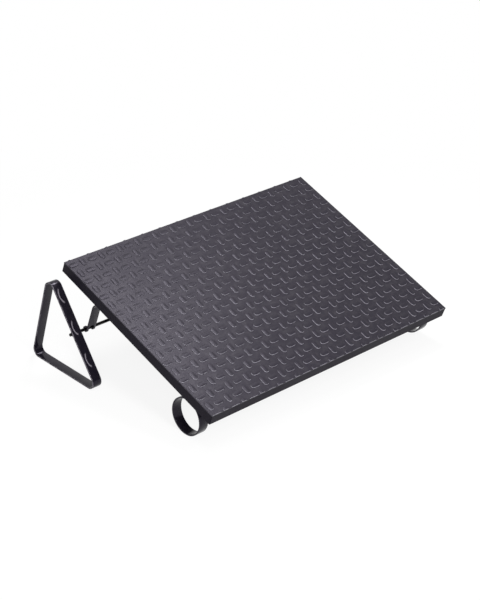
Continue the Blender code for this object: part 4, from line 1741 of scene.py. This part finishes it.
@dataclass
class TriangleLeg:
    """Flat bar bent to a triangle, welded to the rod inside its long side.

    Attributes:
        bar: The bar that it is bent from.
        side_length: Length of the two equal sides, between sharp corners.
        long_side: Length of the side that faces the front.
        corner_radius: Outer radius of the bends.
        clearance: Room between rod and bar.
        weld: The beads in the corners between rod and bar.
        first_boss: Middle of the first hammered oval, from the sharp upper corner down the long side.
        steps: Steps in each bend.
    """

    bar: FlatBar
    side_length: float = 0.165
    long_side: float = 0.200
    corner_radius: float = 0.012
    clearance: float = 0.0003
    weld: WeldBead = field(default_factory=WeldBead)
    first_boss: float = 0.0392
    steps: int = 12

    @property
    def base_angle(self) -> float:
        """Angle at either end of the long side."""
        return math.acos(self.long_side / (2 * self.side_length))

    def path(self, rod: CrossRod) -> list[Point]:
        """Middle line of the bar round the triangle.

        Args:
            rod: The rod inside the long side.

        Returns:
            The line as along and up, from the rod's axis.
        """
        angle = self.base_angle
        outside = rod.radius + self.clearance + self.bar.thickness
        height = self.long_side / 2 * math.sin(angle) - outside * math.cos(angle)
        reach = self.long_side / 2 * math.cos(angle) + outside * math.sin(angle)
        front = Vector((-reach, -height))
        corners = [front + Vector((self.side_length, 0)),
                   front + self.long_side * Vector((math.cos(angle), math.sin(angle))), front]
        line: list[Point] = []
        for index, corner in enumerate(corners):
            arriving = corner - corners[index - 1]
            leaving = corners[(index + 1) % len(corners)] - corner
            start = math.atan2(arriving.y, arriving.x)
            turn = (math.atan2(leaving.y, leaving.x) - start) % (2 * math.pi)
            half = (math.pi - turn) / 2
            inward = start + turn + half
            centre = corner + self.corner_radius / math.sin(half) * Vector((math.cos(inward),
                                                                           math.sin(inward)))
            radius = self.corner_radius - self.bar.thickness / 2
            line += arc((centre.x, centre.y), radius, start - math.pi / 2, start + turn - math.pi / 2,
                        self.steps)
        return line

    def bosses(self, path: Sequence[Point]) -> Bosses:
        """Hammered ovals down the long side.

        Args:
            path: Middle line of the bar; its second bend is the upper one.

        Returns:
            The ovals.
        """
        bend_end = 2 * self.steps + 1
        run = sum(math.dist(*pair) for pair in zip(path[:bend_end], path[1:bend_end + 1]))
        reach = self.corner_radius / math.tan(self.base_angle / 2)
        return Bosses(first=run - reach + self.first_boss)

    def beads(self, rod: CrossRod, x: float) -> list[Vector]:
        """Middles of the two weld beads.

        Args:
            rod: The rod.
            x: Middle of the leg's bar.

        Returns:
            The two places.
        """
        angle = self.base_angle
        size = self.weld.radius
        lift = rod.radius + self.clearance - size / 2
        out = math.sqrt((rod.radius + size * 0.75) ** 2 - lift ** 2)
        to_bar = Vector((0, math.cos(angle + math.pi / 2), math.sin(angle + math.pi / 2)))
        on_bar = Vector((0, math.cos(angle), math.sin(angle)))
        middle = Vector((x, rod.axis.y, rod.axis.z))
        return [middle + lift * to_bar + way * out * on_bar for way in (-1, 1)]

    def build(self, side: Side, rod: CrossRod, fitter: Fitter, effects: Effects) -> None:
        """Make one leg with its welds and fit them.

        Args:
            side: The side of the board.
            rod: The rod that it is welded to.
            fitter: What the pieces are handed to.
            effects: The shared surface effects.
        """
        node = f"{side.label}_triangle_leg"
        low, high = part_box(node)
        x = (low.x + high.x) / 2
        path = self.path(rod)
        bosses = self.bosses(path)
        finish = replace(BAR_ENAMEL, name="hammered black enamel", bosses=bosses).material(effects)
        leg = self.bar.sweep(f"{side.label}_leg", path, True,
                             Matrix.Translation((x, rod.axis.y, rod.axis.z)), finish)
        slope = Vector((0, math.cos(self.base_angle), math.sin(self.base_angle)))
        bosses.hammer(leg, Vector((0, -slope.z, slope.y)), -slope)
        fitter.fit(smooth(leg, BAR_CREASE), Body.LEGS, Slot.ENAMEL, node)
        welds = self.weld.build(f"{side.label}_leg_welds", self.beads(rod, x),
                                BAR_ENAMEL.material(effects))
        fitter.fit(welds, Body.LEGS, Slot.ENAMEL)


@dataclass(frozen=True)
class ViewPoint:
    """The photograph's point of view.

    Attributes:
        azimuth: Turn round the footrest, from the front, in degrees.
        elevation: Angle above the floor, in degrees.
        roll: Lean of the camera, in degrees.
        distance: From the camera to the point that it looks at.
        look_at: That point.
        lens: Focal length in millimetres on a 36 mm long side.
    """

    azimuth: float = -44.191
    elevation: float = 27.913
    roll: float = 2.064
    distance: float = 2.6473
    look_at: tuple[float, float, float] = (0.0, 0.01833, 0.07500)
    lens: float = 99.91

    def build(self) -> None:
        """Make the camera and hand it to the scene."""
        turn, rise, roll = (math.radians(angle) for angle in (self.azimuth, self.elevation, self.roll))
        back = Vector((math.sin(turn) * math.cos(rise), -math.cos(turn) * math.cos(rise), math.sin(rise)))
        level = Vector((math.cos(turn), math.sin(turn), 0))
        upright = back.cross(level)
        right = math.cos(roll) * level + math.sin(roll) * upright
        up = math.cos(roll) * upright - math.sin(roll) * level
        lens = bpy.data.cameras.new("camera")
        lens.lens = self.lens
        camera = bpy.data.objects.new("camera", lens)
        bpy.context.scene.collection.objects.link(camera)
        camera.matrix_world = Matrix.Translation(Vector(self.look_at) + back * self.distance) @ Matrix(
            (right, up, back)).transposed().to_4x4()
        bpy.context.scene.camera = camera


@dataclass(frozen=True)
class Softbox:
    """One studio lamp.

    Attributes:
        name: Name of the lamp.
        place: Where it hangs.
        aim: What it points at.
        size: Its width and height.
        power: Its power in watts.
    """

    name: str
    place: tuple[float, float, float]
    aim: tuple[float, float, float]
    size: tuple[float, float]
    power: float

    def build(self) -> None:
        """Hang the lamp, unseen by the camera."""
        lamp = bpy.data.lights.new(self.name, "AREA")
        lamp.shape = "RECTANGLE"
        lamp.size, lamp.size_y = self.size
        lamp.energy = self.power
        holder = bpy.data.objects.new(self.name, lamp)
        bpy.context.scene.collection.objects.link(holder)
        holder.location = self.place
        direction = Vector(self.aim) - Vector(self.place)
        holder.rotation_euler = direction.to_track_quat("-Z", "Y").to_euler()
        holder.visible_camera = False


@dataclass
class Studio:
    """Pale floor, white surroundings and soft lamps.

    Attributes:
        lamps: The softboxes.
        ambient: Strength of the light from all round.
        floor_size: Side of the floor.
        floor_share: Share of the floor's brightness that comes from the lamps and takes the shadow.
        floor_light: How bright the lamps make a white floor.
        floor_fade: Distances from the middle between which the floor fades into the white behind it.
    """

    lamps: tuple[Softbox, ...] = (
        Softbox("sheen softbox", (0.36, 0.23, 1.35), (0.0, 0.0, 0.1), (0.44, 0.42), 11.5),
        Softbox("overhead softbox", (-0.30, -0.35, 1.35), (-0.1, -0.1, 0.1), (0.4, 0.5), 4.0),
        Softbox("right front softbox", (1.10, -0.90, 1.35), (0.0, 0.0, 0.1), (0.35, 0.35), 5.0),
        Softbox("front softbox", (-0.42, -1.55, 1.15), (-0.25, 0.0, 0.1), (0.32, 0.55), 14.0),
        Softbox("left front softbox", (-1.30, -1.10, 1.00), (0.0, 0.0, 0.1), (0.7, 0.7), 14.0),
    )
    ambient: float = 0.15
    floor_size: float = 8.0
    floor_share: float = 0.12
    floor_light: float = 0.95
    floor_fade: tuple[float, float] = (0.45, 0.9)

    @staticmethod
    def seen_rays(wiring: Wiring) -> bpy.types.NodeSocket:
        """1 for rays from the camera, from gloss and through glass; 0 for the others.

        Args:
            wiring: Wiring of the tree.

        Returns:
            The value.
        """
        rays = wiring.add("ShaderNodeLightPath").outputs
        seen = wiring.number("ADD", rays["Is Camera Ray"], rays["Is Glossy Ray"])
        return wiring.number("ADD", seen, rays["Is Transmission Ray"], clamp=True)

    def surroundings(self) -> None:
        """White behind everything, softer as a light."""
        world = bpy.data.worlds.new("studio")
        world.use_nodes = True
        world.node_tree.nodes.clear()
        wiring = Wiring(world.node_tree)
        shades = [wiring.add("ShaderNodeBackground", {"Color": opaque((1, 1, 1)), "Strength": strength})
                  for strength in (self.ambient, 1.0)]
        mixed = wiring.add("ShaderNodeMixShader", {0: self.seen_rays(wiring), 1: shades[0].outputs[0],
                                                   2: shades[1].outputs[0]})
        wiring.add("ShaderNodeOutputWorld", {"Surface": mixed.outputs[0]})
        bpy.context.scene.world = world

    def floor(self) -> None:
        """Pale floor that keeps the footrest's shadow and fades into the white behind it."""
        shape = bmesh.new()
        bmesh.ops.create_grid(shape, x_segments=1, y_segments=1, size=self.floor_size / 2)
        floor = new_object("floor", shape)
        paint = bpy.data.materials.new("pale floor")
        paint.use_nodes = True
        paint.node_tree.nodes.clear()
        wiring = Wiring(paint.node_tree)
        glow = wiring.add("ShaderNodeEmission", {"Color": opaque((1, 1, 1)),
                                                 "Strength": 1.0 - self.floor_share})
        grey = self.floor_share / self.floor_light
        matt = wiring.add("ShaderNodeBsdfDiffuse", {"Color": opaque((grey, grey, grey))})
        near = wiring.add("ShaderNodeAddShader", {0: glow.outputs[0], 1: matt.outputs[0]})
        far = wiring.add("ShaderNodeEmission", {"Color": opaque((1, 1, 1)), "Strength": 1.0})
        place = wiring.add("ShaderNodeTexCoord").outputs["Object"]
        distance = wiring.add("ShaderNodeVectorMath", {0: place}, operation="LENGTH").outputs["Value"]
        fade = wiring.ramp(distance, *self.floor_fade)
        lit = wiring.add("ShaderNodeMixShader", {0: fade, 1: near.outputs[0], 2: far.outputs[0]})
        plain = wiring.add("ShaderNodeBsdfDiffuse", {"Color": opaque((0.8, 0.8, 0.8))})
        shown = wiring.add("ShaderNodeMixShader", {0: self.seen_rays(wiring), 1: plain.outputs[0],
                                                   2: lit.outputs[0]})
        wiring.add("ShaderNodeOutputMaterial", {"Surface": shown.outputs[0]})
        floor.data.materials.append(paint)

    def build(self) -> None:
        """Set up the whole studio."""
        self.surroundings()
        self.floor()
        for lamp in self.lamps:
            lamp.build()
        bpy.context.scene.view_settings.view_transform = "Standard"


def dress_board(board: BoardFrame, nodes: dict[str, bpy.types.Object], fitter: Fitter,
                effects: Effects) -> None:
    """Board, edging and mat.

    Args:
        board: The board's frame.
        nodes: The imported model's nodes.
        fitter: What the pieces are handed to.
        effects: The shared surface effects.
    """
    panel = nodes["board_panel"].data
    panel.materials.clear()
    panel.materials.append(PANEL_LAMINATE.material(effects))
    strips = EdgeStrips().build(board, EDGE_LAMINATE.material(effects))
    for side, strip in strips.items():
        fitter.fit(strip, Body.BOARD, Slot.EDGING, f"edge_band_{side}")
    mat = StuddedMat().build(board, MAT_RUBBER.material(effects))
    fitter.fit(mat, Body.BOARD, Slot.RUBBER, "tread_mat")


def main() -> None:
    """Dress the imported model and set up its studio."""
    logging.basicConfig(level=logging.INFO, format="%(name)s: %(message)s")
    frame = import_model()
    ViewPoint().build()
    Studio().build()
    effects = Effects()
    fitter = Fitter()
    board = BoardFrame.read(frame["nodes"])
    rod = CrossRod.read()
    low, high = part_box("left_hoop_foot")
    bar = FlatBar(width=high.x - low.x)
    dress_board(board, frame["nodes"], fitter, effects)
    rod.build(fitter, effects)
    for side in Side:
        HoopFoot(bar).build(side, board, fitter, effects)
        Hanger(bar).build(side, board, rod, fitter, effects)
        TriangleLeg(bar).build(side, rod, fitter, effects)
    LOG.info("all pieces: %d triangles", fitter.triangles)


if __name__ == "__main__":
    main()
